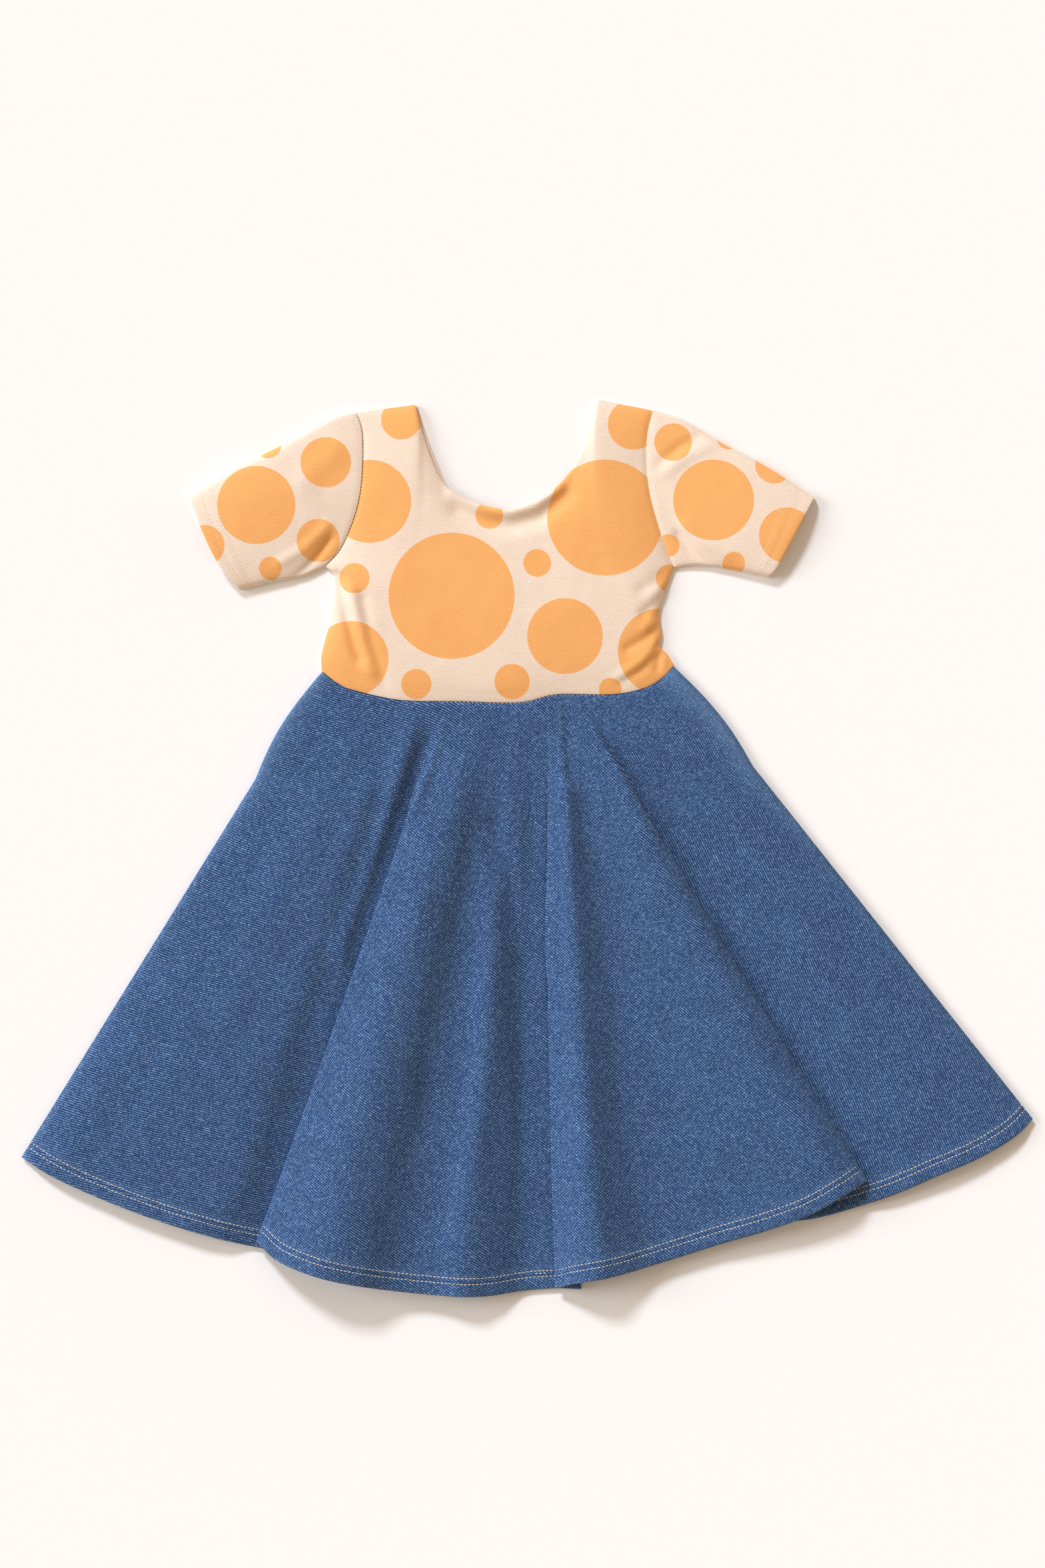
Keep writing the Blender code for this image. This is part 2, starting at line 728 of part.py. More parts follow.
def main():
    clear_scene()
    collection = bpy.data.collections.new(COLLECTION_NAME)
    bpy.context.scene.collection.children.link(collection)
    make_bodice(collection)
    make_sleeves(collection)
    make_skirt(collection)


main()
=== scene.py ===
"""Child's twirl dress laid flat: spotted jersey bodice and sleeves, full flared denim skirt.

Tables and points are in millimetres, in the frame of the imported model, and meshes are in metres.
"""

import functools
import math

import bpy
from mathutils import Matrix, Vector, noise


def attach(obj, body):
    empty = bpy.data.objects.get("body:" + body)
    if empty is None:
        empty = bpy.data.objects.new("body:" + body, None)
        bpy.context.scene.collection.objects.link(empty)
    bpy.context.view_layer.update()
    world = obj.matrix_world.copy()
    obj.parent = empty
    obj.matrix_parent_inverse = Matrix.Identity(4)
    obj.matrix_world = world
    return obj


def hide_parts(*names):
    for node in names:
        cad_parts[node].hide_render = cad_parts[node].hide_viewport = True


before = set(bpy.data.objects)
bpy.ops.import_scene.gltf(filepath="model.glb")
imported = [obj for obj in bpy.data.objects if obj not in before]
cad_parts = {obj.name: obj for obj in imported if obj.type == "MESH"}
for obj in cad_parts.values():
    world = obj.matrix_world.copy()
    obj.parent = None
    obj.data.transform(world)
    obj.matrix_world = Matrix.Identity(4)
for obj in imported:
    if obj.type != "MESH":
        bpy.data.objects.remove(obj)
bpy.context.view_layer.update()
MM = 0.001

# Camera
# The dress is seen from straight above, from far enough that heights hardly shift anything.
CAMERA_HEIGHT = 5.0
CAMERA_CENTRE = (-3.7, 50.6)
VIEW_WIDTH = 831.0
SENSOR_WIDTH = 36.0

camera_data = bpy.data.cameras.new("camera_above")
camera_data.sensor_fit = "HORIZONTAL"
camera_data.sensor_width = SENSOR_WIDTH
camera_data.lens = SENSOR_WIDTH * CAMERA_HEIGHT / (VIEW_WIDTH * MM)
camera_data.clip_end = 50.0
camera = bpy.data.objects.new("camera_above", camera_data)
camera.location = (CAMERA_CENTRE[0] * MM, CAMERA_CENTRE[1] * MM, CAMERA_HEIGHT)
bpy.context.scene.collection.objects.link(camera)
bpy.context.scene.camera = camera


# Jersey cloth
# Brushed cotton jersey, cream with big plain orange spots printed on it.
# The knit shows as a fine heathered grain, and its surface is matt and a little fuzzy.
CREAM = (0.900, 0.740, 0.605, 1.0)
ORANGE = (0.940, 0.455, 0.152, 1.0)
KNIT_GRAIN = 1.15
KNIT_CONTRAST = 0.16
JERSEY_ROUGHNESS = 0.92
JERSEY_SHEEN = 0.08
PRINT_EDGE = 0.45


def shader_node(tree, kind, links=(), **settings):
    """A node with its settings, and its inputs linked or given as (input, source) pairs."""
    node = tree.nodes.new(kind)
    for key, value in settings.items():
        setattr(node, key, value)
    for key, source in links:
        if isinstance(source, bpy.types.NodeSocket):
            tree.links.new(source, node.inputs[key])
        else:
            node.inputs[key].default_value = source
    return node


def sum_of(tree, first, second, operation="ADD"):
    """Output of a Math node on two values or sockets."""
    return shader_node(tree, "ShaderNodeMath", [(0, first), (1, second)], operation=operation).outputs[0]


def in_range(tree, value, low, high, out_low=0.0, out_high=1.0):
    """Output of a smooth Map Range node."""
    links = [("Value", value), ("From Min", low), ("From Max", high)]
    links += [("To Min", out_low), ("To Max", out_high)]
    return shader_node(tree, "ShaderNodeMapRange", links, interpolation_type="SMOOTHSTEP").outputs[0]


def blend_colours(tree, share, first, second, blend_type="MIX"):
    """Colour output of a Mix node."""
    mixer = shader_node(tree, "ShaderNodeMix", [(0, share), (6, first), (7, second)],
                        data_type="RGBA", blend_type=blend_type)
    return mixer.outputs[2]


def grain(tree, place, scale, detail=2.0, stretch=(1.0, 1.0, 1.0)):
    """Noise over a place on the cloth, finer one way than the other where it is stretched."""
    stretched = shader_node(tree, "ShaderNodeMapping", [("Vector", place), ("Scale", stretch)]).outputs[0]
    links = [("Vector", stretched), ("Scale", scale), ("Detail", detail), ("Roughness", 0.6)]
    return shader_node(tree, "ShaderNodeTexNoise", links).outputs[0]


def cloth_place(tree, turn=0.0):
    """Place on the cut cloth in millimetres, turned by an angle."""
    chart = shader_node(tree, "ShaderNodeUVMap", uv_map="cut").outputs[0]
    links = [("Vector", chart), ("Scale", (1000.0, 1000.0, 1.0)), ("Rotation", (0.0, 0.0, turn))]
    return shader_node(tree, "ShaderNodeMapping", links).outputs[0]


def new_material(name, roughness, sheen):
    """A material with an empty Principled shader, whose uniform values are set on its sockets."""
    material = bpy.data.materials.new(name)
    material.use_nodes = True
    shader = material.node_tree.nodes["Principled BSDF"]
    shader.inputs["Roughness"].default_value = roughness
    shader.inputs["Sheen Weight"].default_value = sheen
    shader.inputs["Sheen Roughness"].default_value = 0.6
    shader.inputs["Specular IOR Level"].default_value = 0.15
    return material, shader


def spotted_jersey(name, spots):
    """Jersey with its print: spots are rows of (across, up, radius) on the cut cloth."""
    material, shader = new_material(name, JERSEY_ROUGHNESS, JERSEY_SHEEN)
    tree = material.node_tree
    place = cloth_place(tree)
    nearest = 1000.0
    for across, up, radius in spots:
        links = [(0, place), (1, (across, up, 0.0))]
        away = shader_node(tree, "ShaderNodeVectorMath", links, operation="DISTANCE").outputs["Value"]
        nearest = sum_of(tree, sum_of(tree, away, radius, "SUBTRACT"), nearest, "MINIMUM")
    fuzz = grain(tree, place, KNIT_GRAIN, 3.0)
    edge = sum_of(tree, nearest, sum_of(tree, fuzz, 0.8, "MULTIPLY"))
    printed = in_range(tree, edge, 0.4 - PRINT_EDGE, 0.4 + PRINT_EDGE, 1.0, 0.0)
    colour = blend_colours(tree, printed, CREAM, ORANGE)

    wales = grain(tree, place, KNIT_GRAIN, 2.0, (1.6, 0.7, 1.0))
    heather = in_range(tree, wales, 0.3, 0.7, 1.0 - KNIT_CONTRAST, 1.0 + KNIT_CONTRAST * 0.5)
    cloudy = in_range(tree, grain(tree, place, 0.05, 2.0), 0.3, 0.7, 0.985, 1.015)
    shade = sum_of(tree, heather, cloudy, "MULTIPLY")
    tone = shader_node(tree, "ShaderNodeCombineColor", [(0, shade), (1, shade), (2, shade)]).outputs[0]
    tree.links.new(blend_colours(tree, 1.0, colour, tone, "MULTIPLY"), shader.inputs["Base Color"])
    links = [("Height", sum_of(tree, wales, fuzz)), ("Strength", 0.35), ("Distance", 0.0004)]
    tree.links.new(shader_node(tree, "ShaderNodeBump", links).outputs[0], shader.inputs["Normal"])
    return material


def smooth_step(value, low, high):
    """0 below low, 1 above high, and a soft rise between them."""
    share = min(1.0, max(0.0, (value - low) / (high - low)))
    return share * share * (3.0 - 2.0 * share)


def uneven(x, y, scale, seed):
    """Smooth unevenness of a cloth from -1 to 1, its humps about a scale apart."""
    return noise.noise(Vector((x / scale, y / scale, seed * 17.3)))


def make_cloth(name, rows, chart, wall, material, wear_and_highlight=None, is_tube=False):
    """A shell from rows of points in millimetres, with its place on the cut cloth as its UV map.

    Rows run down the cloth and points across it, so that its faces look up out of the front.
    """
    count = len(rows[0])
    points = [tuple(value * MM for value in point) for row in rows for point in row]
    spans = range(count) if is_tube else range(count - 1)
    faces = []
    for row in range(len(rows) - 1):
        for column in spans:
            after = (column + 1) % count
            here = row * count
            faces.append((here + column, here + count + column, here + count + after, here + after))
    mesh = bpy.data.meshes.new(name)
    mesh.from_pydata(points, [], faces)
    flat = [tuple(value * MM for value in place) for row in chart for place in row]
    uv_map = mesh.uv_layers.new(name="cut")
    for loop in mesh.loops:
        uv_map.data[loop.index].uv = flat[loop.vertex_index]
    # Per-point paleness: real wear at the hem, and painted highlight on the skirt's side edges.
    wear_and_highlight_share = mesh.attributes.new("wear_and_highlight", "FLOAT", "POINT")
    if wear_and_highlight:
        wear_and_highlight_share.data.foreach_set("value", [value for row in wear_and_highlight for value in row])
    mesh.materials.append(material)
    mesh.update()
    if mesh.polygons[len(spans) // 4].normal.z < 0.0:
        mesh.flip_normals()
    mesh.shade_smooth()
    cloth = bpy.data.objects.new(name, mesh)
    bpy.context.scene.collection.objects.link(cloth)
    solidify = cloth.modifiers.new("wall", "SOLIDIFY")
    solidify.thickness = wall * MM
    solidify.offset = 0.0
    solidify.use_even_offset = True
    solidify.use_quality_normals = True
    return cloth


def edge_steps(length, step, from_start, from_end):
    """Shares along a length at an even step, but at given distances from its two ends."""
    places = list(from_start)
    middle = length - from_start[-1] - from_end[-1]
    count = round(middle / step)
    places += [from_start[-1] + middle * index / count for index in range(1, count)]
    places += [length - distance for distance in reversed(from_end)]
    return [place / length for place in places]


# Bodice back
# One cut of the jersey with a scoop neck, lying flat under the front.
# Its neck edge is turned under, and its shoulders, armholes and sides are sewn to the other pieces.
JERSEY_WALL = 1.2
LAYER_GAP = 0.3
SEAM_GAP = 0.6
JERSEY_BACK_LIFT = JERSEY_WALL / 2
JERSEY_FRONT_LIFT = JERSEY_WALL * 1.5 + LAYER_GAP
WAIST_LINE = (
    # across, up
    (-163.0, 140.0),
    (-150.5, 130.6),
    (-136.7, 124.8),
    (-100.2, 117.2),
    (-54.1, 116.3),
    (-5.8, 115.5),
    (23.9, 121.8),
    (67.8, 121.8),
    (92.8, 126.6),
    (107.5, 135.0),
    (116.5, 144.5),
)
WAIST_STEPS = 160
WAIST_RISE = 1.8
LEFT_SHOULDER = ((-135.7, 345.3), (-112.0, 348.8), (-89.0, 351.7))
RIGHT_SHOULDER = ((55.7, 354.8), (78.0, 351.5), (99.6, 347.2))
BACK_NECK = (
    # across, up
    (-88.0, 352.0),
    (-81.2, 330.5),
    (-72.0, 306.6),
    (-62.0, 286.0),
    (-40.0, 266.0),
    (-15.9, 260.0),
    (8.0, 265.0),
    (30.0, 285.0),
    (46.0, 315.0),
    (56.0, 356.0),
)
LEFT_ARMHOLE = (
    # across, up
    (-135.7, 345.3),
    (-131.2, 330.0),
    (-130.9, 302.9),
    (-133.6, 276.9),
    (-140.5, 254.1),
    (-149.5, 235.6),
    (-160.1, 223.9),
)
LEFT_SIDE = (
    # across, up
    (-160.1, 223.9),
    (-152.5, 214.0),
    (-155.3, 183.6),
    (-160.6, 163.5),
    (-163.5, 150.3),
    (-163.0, 140.0),
)
RIGHT_ARMHOLE = (
    # across, up
    (99.6, 347.2),
    (95.2, 326.0),
    (94.9, 302.9),
    (97.5, 280.6),
    (103.4, 258.4),
    (110.8, 235.6),
    (116.1, 222.9),
)
RIGHT_SIDE = (
    # across, up
    (116.1, 222.9),
    (112.4, 213.3),
    (104.4, 188.0),
    (106.0, 169.5),
    (104.4, 160.0),
    (110.8, 154.0),
    (116.5, 144.5),
)
SHOULDER_SHARE = 6 / 32
ARMHOLE_SHARE = 10 / 19
BODICE_WIDTH = 250.0
BODICE_LENGTH = 190.0
BACK_SPOTS = (
    # across, up, radius
    (-92.0, 235.0, 46.0),
    (34.0, 205.0, 52.0),
    (-30.0, 150.0, 26.0),
    (-120.0, 160.0, 24.0),
    (96.0, 290.0, 30.0),
    (-118.0, 322.0, 26.0),
    (78.0, 336.0, 14.0),
    (92.0, 145.0, 20.0),
    (-20.0, 238.0, 15.0),
)


def mix(start, end, share):
    """Point at a share of the way from one point to another."""
    return tuple(a + (b - a) * share for a, b in zip(start, end))


def approach(distance, reach):
    """0 at an edge, nearing 1 as the distance passes the reach."""
    return 1.0 - math.exp(-distance / reach)


def bend(before, start, end, after, share):
    """Catmull-Rom curve between start and end."""
    square = share * share
    cube = square * share
    return tuple(
        0.5 * (2 * b + (c - a) * share + (2 * a - 5 * b + 4 * c - d) * square
               + (3 * b - a - 3 * c + d) * cube)
        for a, b, c, d in zip(before, start, end, after)
    )


def padded(points):
    """The points with one mirrored point more at each end, for the curve's end slopes."""
    first = tuple(2 * a - b for a, b in zip(points[0], points[1]))
    last = tuple(2 * a - b for a, b in zip(points[-1], points[-2]))
    return (first,) + tuple(points) + (last,)


def along(points, share):
    """Point at a share of the length of a smooth curve through the points."""
    spans = [math.dist(a, b) for a, b in zip(points, points[1:])]
    target = share * sum(spans)
    index = 0
    while index < len(spans) - 1 and target > spans[index]:
        target -= spans[index]
        index += 1
    ends = padded(points)
    return bend(*ends[index:index + 4], min(1.0, target / spans[index]))


@functools.cache
def waist_curve():
    return tuple(along(WAIST_LINE, step / WAIST_STEPS) for step in range(WAIST_STEPS + 1))


@functools.cache
def waist_point(across):
    """Point of the waist line at an across value."""
    line = waist_curve()
    for start, end in zip(line, line[1:]):
        if across <= end[0] or end is line[-1]:
            share = (across - start[0]) / (end[0] - start[0])
            return (across, start[1] + (end[1] - start[1]) * share)
    return line[-1]


@functools.cache
def half_seam(across):
    """Half the waist seam's gap, measured straight up where the seam line slopes."""
    slope = (waist_point(across + 1.0)[1] - waist_point(across - 1.0)[1]) / 2.0
    return SEAM_GAP / 2 * math.hypot(1.0, slope)


def waist_bump(across):
    """Extra height of the front layers along the waist, none at the side seams."""
    share = (across - WAIST_LINE[0][0]) / (WAIST_LINE[-1][0] - WAIST_LINE[0][0])
    return WAIST_RISE * math.sin(math.pi * share) ** 0.5 if 0.0 < share < 1.0 else 0.0


def patch(top, bottom, left, right, across, down):
    """Point of a sheet stretched between four edge curves (a Coons patch)."""
    corner_top = mix(top(0.0), top(1.0), across)
    corner_bottom = mix(bottom(0.0), bottom(1.0), across)
    corner = mix(corner_top, corner_bottom, down)
    between_rows = mix(top(across), bottom(across), down)
    between_columns = mix(left(down), right(down), across)
    return tuple(a + b - c for a, b, c in zip(between_rows, between_columns, corner))


def bodice_top(neck, across):
    """Shoulder, neck, shoulder: the top edge of a bodice panel."""
    if across <= SHOULDER_SHARE:
        return along((LEFT_SHOULDER[0], LEFT_SHOULDER[1], neck[0]), across / SHOULDER_SHARE)
    if across >= 1.0 - SHOULDER_SHARE:
        share = (across - 1.0 + SHOULDER_SHARE) / SHOULDER_SHARE
        return along((neck[-1], RIGHT_SHOULDER[1], RIGHT_SHOULDER[2]), share)
    return along(neck, (across - SHOULDER_SHARE) / (1.0 - 2.0 * SHOULDER_SHARE))


def bodice_edge(armhole, side, down):
    """Armhole and side seam: a side edge of a bodice panel."""
    if down <= ARMHOLE_SHARE:
        return along(armhole, down / ARMHOLE_SHARE)
    return along(side, (down - ARMHOLE_SHARE) / (1.0 - ARMHOLE_SHARE))


def bodice_place(neck, across, down):
    """Place of a bodice panel's point, seen from above, half a gap short of the waist seam."""
    x, y = patch(
        lambda share: bodice_top(neck, share),
        lambda share: along(WAIST_LINE, share),
        lambda share: bodice_edge(LEFT_ARMHOLE, LEFT_SIDE, share),
        lambda share: bodice_edge(RIGHT_ARMHOLE, RIGHT_SIDE, share),
        across,
        down,
    )
    return (x, y + half_seam(round(x, 1)) * down)


BODICE_SHARES_ACROSS = edge_steps(BODICE_WIDTH, 2.2, (0.0, 0.5, 1.3), (0.0, 0.5, 1.3))
BODICE_SHARES_DOWN = edge_steps(BODICE_LENGTH, 2.2, (0.0, 0.4, 1.0, 2.0), (0.0, 0.4, 1.0, 2.0))


def bodice_cloth(name, point, spots):
    """A bodice panel: its rows of points, cut flat as it lies."""
    rows = [[point(across, down) for across in BODICE_SHARES_ACROSS] for down in BODICE_SHARES_DOWN]
    chart = [[(x, y) for x, y, _z in row] for row in rows]
    return make_cloth(name, rows, chart, JERSEY_WALL, spotted_jersey(name + "_jersey", spots))


def bodice_back_point(across, down):
    x, y = bodice_place(BACK_NECK, across, down)
    return (x, y, JERSEY_BACK_LIFT)


bodice_back = bodice_cloth("bodice_back_cloth", bodice_back_point, BACK_SPOTS)
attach(bodice_back, "root")
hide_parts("bodice_back")


# Bodice front
# One cut of the same jersey with the scoop neck that shows, sewn at the shoulders, armholes and sides.
# The neck edge is turned under to a soft roll, and the cloth lies in a few slack creases.
BODICE_FULLNESS = 10.0
ARMHOLE_RISE = 2.6
SLEEVE_TURN = 1.9
SIDE_REACH = 7.0
ARMHOLE_REACH = 24.0
SHOULDER_REACH = 14.0
WAIST_REACH = 30.0
SHOULDER_LIFT = 0.4
NECK_REACH = 28.0
NECK_LIFT = 2.2
NECK_SIDE_LIFT = 0.8
NECK_BOTTOM = -12.0
NECK_BOTTOM_REACH = 46.0
NECK_ROLL = 3.2
NECK_ROLL_REACH = 10.0
CREASE_SIDE_REACH = 5.0
CREASE_WAIST_REACH = 20.0
ARMHOLE_VALLEY = 0.7
ARMHOLE_VALLEY_REACH = 2.2
EDGE_TURN = 2.2
EDGE_DROP = 0.9
WAIST_TURN = 0.3
UNDERARM_BLEND = 0.105
NECK_BLEND = (-0.026, 0.053)
JERSEY_SLACK = 0.5
BODICE_SLACK_SCALE = 34.0
JERSEY_RIPPLE = 0.12
JERSEY_RIPPLE_SCALE = 9.0
BODICE_DIP = 0.2
FRONT_NECK = (
    # across, up
    (-89.0, 351.7),
    (-83.7, 330.5),
    (-75.3, 306.6),
    (-67.0, 290.0),
    (-54.0, 279.4),
    (-36.0, 271.6),
    (-15.9, 268.4),
    (3.5, 273.5),
    (21.2, 284.3),
    (36.0, 300.8),
    (46.5, 321.0),
    (53.0, 343.0),
    (55.7, 354.8),
)
BODICE_CREASES = (
    # name, height, half width, points (across, up)
    ("left fold from underarm", -3.6, 4.5,
     ((-150.0, 216.0), (-146.0, 194.0), (-138.0, 165.0), (-133.0, 150.0))),
    ("left roll beside it", 2.4, 6.0, ((-141.0, 205.0), (-134.0, 180.0), (-124.0, 140.0))),
    ("left roll's foot", -1.8, 4.5, ((-131.0, 197.0), (-125.0, 165.0), (-113.0, 129.0))),
    ("right tuck", -6.5, 2.6, ((107.0, 156.5), (104.0, 148.0), (103.5, 142.0))),
    ("lobe right of the tuck", 2.6, 3.0, ((108.5, 152.0), (110.0, 144.0))),
    ("fold over the tuck", 2.8, 4.0, ((104.0, 160.0), (92.0, 149.0), (72.0, 134.0))),
    ("trough under the fold", -2.8, 3.4, ((102.0, 152.0), (92.0, 142.0), (74.0, 131.0))),
    ("trough above the fold", -2.4, 4.0, ((104.0, 174.0), (92.0, 165.0), (80.0, 158.0))),
    ("ridge above that", 1.6, 4.0, ((105.0, 182.0), (94.0, 175.0))),
    ("upper side trough", -1.8, 4.0, ((104.0, 196.0), (92.0, 186.0))),
    ("underarm trough", -1.8, 6.0, ((108.0, 216.0), (92.0, 205.0))),
    ("soft chest hollow", -0.9, 16.0, ((-110.0, 262.0), (-84.0, 240.0))),
    ("roll of the scoop", 1.6, 4.5,
     ((-60.0, 281.0), (-36.0, 269.0), (-15.0, 266.0), (5.0, 271.0), (26.0, 286.0))),
    ("hollow under the scoop", -2.6, 6.5,
     ((-56.0, 268.0), (-34.0, 258.0), (-14.0, 255.0), (10.0, 261.0), (32.0, 280.0))),
)
FRONT_SPOTS = (
    # across, up, radius
    (-60.0, 200.0, 50.0),
    (62.0, 262.0, 46.0),
    (-125.0, 275.0, 33.0),
    (-137.0, 214.0, 12.0),
    (-140.0, 150.0, 30.0),
    (30.0, 168.0, 30.0),
    (106.0, 156.0, 34.0),
    (113.0, 214.0, 11.0),
    (8.0, 226.0, 11.0),
    (-12.0, 132.0, 14.0),
    (-88.0, 130.0, 12.0),
    (66.0, 126.0, 9.0),
    (-30.0, 264.0, 11.0),
    (-100.0, 340.0, 16.0),
    (84.0, 336.0, 20.0),
)


def crease_height(creases, x, y):
    """Sum of the soft ridges and troughs at a place, each fading out at its ends."""
    total = 0.0
    for _name, height, half_width, points in creases:
        nearest = 1000.0
        for start, end in zip(points, points[1:]):
            run = (end[0] - start[0], end[1] - start[1])
            length = math.hypot(*run)
            share = ((x - start[0]) * run[0] + (y - start[1]) * run[1]) / (length * length)
            share = min(1.0, max(0.0, share))
            nearest = min(nearest, math.hypot(x - start[0] - run[0] * share, y - start[1] - run[1] * share))
        if nearest < 3.0 * half_width:
            total += height * math.exp(-((nearest / half_width) ** 2))
    return total


def edge_turn(distance):
    """Drop of a cloth where its edge turns under."""
    return EDGE_DROP * (1.0 - min(1.0, distance / EDGE_TURN)) ** 2


def armhole_lift(share):
    """Height of the front layer along an armhole, from the shoulder to the underarm."""
    return JERSEY_BACK_LIFT + SLEEVE_TURN + ARMHOLE_RISE * math.sin(math.pi * share)


def bodice_front_point(across, down):
    x, y = bodice_place(FRONT_NECK, across, down)
    from_side = min(across, 1.0 - across) * BODICE_WIDTH
    from_top = down * BODICE_LENGTH
    from_waist = (1.0 - down) * BODICE_LENGTH

    # The edge starts low on a side seam and higher on an armhole.
    edge = armhole_lift(down / ARMHOLE_SHARE) if down < ARMHOLE_SHARE else JERSEY_FRONT_LIFT
    on_side = smooth_step(down, ARMHOLE_SHARE - UNDERARM_BLEND, ARMHOLE_SHARE + UNDERARM_BLEND)
    reach = ARMHOLE_REACH + (SIDE_REACH - ARMHOLE_REACH) * on_side
    lift = edge + (BODICE_FULLNESS - edge) * approach(from_side, reach)

    # The shoulder seam lies low, and the neck edge stands a little proud.
    low = JERSEY_FRONT_LIFT + SHOULDER_LIFT
    below_shoulder = low + (lift - low) * approach(from_top, SHOULDER_REACH)
    roll = NECK_ROLL * math.exp(-(from_top / NECK_ROLL_REACH) ** 2)
    at_bottom = math.exp(-((x - NECK_BOTTOM) / NECK_BOTTOM_REACH) ** 2)
    proud = JERSEY_FRONT_LIFT + NECK_SIDE_LIFT + (NECK_LIFT + roll) * at_bottom
    below_neck = proud + (lift - proud) * approach(from_top, NECK_REACH)
    past_shoulder = min(across, 1.0 - across) - SHOULDER_SHARE
    at_neck = smooth_step(past_shoulder, *NECK_BLEND)
    lift = below_shoulder + (below_neck - below_shoulder) * at_neck

    # The waist seam draws the cloth down to the skirt's height.
    waist = JERSEY_FRONT_LIFT + waist_bump(x)
    lift = waist + (lift - waist) * approach(from_waist, WAIST_REACH)
    free = approach(from_side, CREASE_SIDE_REACH) * approach(from_waist, CREASE_WAIST_REACH)
    relief = crease_height(BODICE_CREASES, x, y) + JERSEY_SLACK * uneven(x, y, BODICE_SLACK_SCALE, 1)
    relief += JERSEY_RIPPLE * uneven(x, y, JERSEY_RIPPLE_SCALE, 2)
    lift += relief * free
    lift -= WAIST_TURN * edge_turn(from_waist) + edge_turn(from_top)
    if down < ARMHOLE_SHARE:
        lift -= ARMHOLE_VALLEY * math.exp(-((from_side / ARMHOLE_VALLEY_REACH) ** 2))
    return (x, y, max(lift, JERSEY_FRONT_LIFT - BODICE_DIP))


bodice_front = bodice_cloth("bodice_front_cloth", bodice_front_point, FRONT_SPOTS)
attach(bodice_front, "root")
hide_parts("bodice_front")


# Sleeves
# Short set-in sleeves of the same jersey, each one cut closed at the underarm into a tube.
# Each is sewn into its armhole, and its cuff is turned up and held by two rows of stitching.
SEAM_CLOSE = 0.15
UNDERARM_EASE = 1.6
SEAM_VALLEY = 0.7
SEAM_VALLEY_REACH = 2.2
SLEEVE_FULLNESS = 8.0
SLEEVE_DEPTH = 110.0
SLEEVE_LENGTH = 120.0
SLEEVE_OUTLINES = {
    "left": {
        "armhole": LEFT_ARMHOLE,
        "cuff": ((-268.7, 279.0), (-256.0, 247.0), (-244.3, 224.5), (-228.4, 205.4)),
        "top": (
            (-135.7, 345.3), (-149.5, 343.0), (-168.0, 334.2),
            (-190.8, 321.4), (-239.0, 297.1), (-268.7, 279.0),
        ),
        "under": ((-160.1, 223.9), (-179.7, 215.4), (-201.9, 211.7), (-228.4, 205.4)),
        "away": -1.0,
    },
    "right": {
        "armhole": RIGHT_ARMHOLE,
        "cuff": ((227.9, 278.0), (210.4, 245.1), (197.5, 221.5), (190.8, 215.4)),
        "top": ((99.6, 347.2), (125.6, 337.9), (155.3, 320.4), (188.7, 302.9), (227.9, 278.0)),
        "under": ((116.1, 222.9), (133.0, 224.5), (155.0, 222.8), (190.8, 215.4)),
        "away": 1.0,
    },
}
SLEEVE_CREASES = (
    # name, height, half width, points (across, up)
    ("left underarm crease", -3.4, 3.6, ((-156.0, 244.0), (-168.0, 229.0), (-184.0, 215.0))),
    ("left underarm roll", 1.8, 4.5, ((-160.0, 254.0), (-176.0, 238.0), (-196.0, 226.0))),
    ("left cap roll", 1.4, 10.0, ((-150.0, 318.0), (-178.0, 292.0))),
    ("right cap crease", -2.6, 4.0, ((102.0, 303.0), (118.0, 316.0), (136.0, 327.0))),
    ("right cap ridge", 1.6, 5.0, ((106.0, 296.0), (126.0, 311.0), (150.0, 322.0))),
    ("right underarm crease", -3.2, 3.6, ((119.0, 248.0), (130.0, 236.0), (143.0, 225.0))),
    ("right underarm roll", 1.6, 4.5, ((126.0, 256.0), (140.0, 242.0), (158.0, 230.0))),
)
SLEEVE_SPOTS = {
    "left": (
        # across, up, radius
        (-215.0, 272.0, 31.0),
        (-160.0, 306.0, 20.0),
        (-166.0, 244.0, 17.0),
        (-256.0, 240.0, 16.0),
        (-204.0, 222.0, 9.0),
        (-206.0, 320.0, 11.0),
    ),
    "right": (
        # across, up, radius
        (148.0, 276.0, 32.0),
        (116.0, 322.0, 15.0),
        (196.0, 304.0, 15.0),
        (206.0, 248.0, 22.0),
        (164.0, 226.0, 9.0),
        (112.0, 240.0, 9.0),
        (160.0, 326.0, 10.0),
    ),
}
SLEEVE_SLACK_SCALE = 30.0
CUFF_ROWS = (8.3, 16.3)
CUFF_RISE = 0.3
CUFF_DIP = 0.3
CUFF_DIP_REACH = 1.2
CUFF_TURN = 0.6


def beside(line, share, away):
    """Point a seam gap to the side of a line, away being 1 to its left and -1 to its right.

    The gap widens at the line's end, where the underarm turns in towards the side seam.
    """
    gap = SEAM_CLOSE * away * (1.0 + UNDERARM_EASE * smooth_step(share, 0.8, 1.0))
    here = along(line, share)
    before = along(line, max(0.0, share - 0.02))
    after = along(line, min(1.0, share + 0.02))
    run = (after[0] - before[0], after[1] - before[1])
    length = math.hypot(*run)
    return (here[0] - run[1] / length * gap, here[1] + run[0] / length * gap)


def sleeve_place(outline, out, across):
    """Place of a sleeve's point: out runs to the cuff, across from its top to its underarm."""
    armhole = outline["armhole"]
    x, y = patch(
        lambda share: along(outline["top"], share),
        lambda share: along(outline["under"], share),
        lambda share: along(armhole, share),
        lambda share: along(outline["cuff"], share),
        out,
        across,
    )
    on_seam = along(armhole, across)
    off_seam = beside(armhole, across, outline["away"])
    near = 1.0 - out
    return (x + (off_seam[0] - on_seam[0]) * near, y + (off_seam[1] - on_seam[1]) * near)


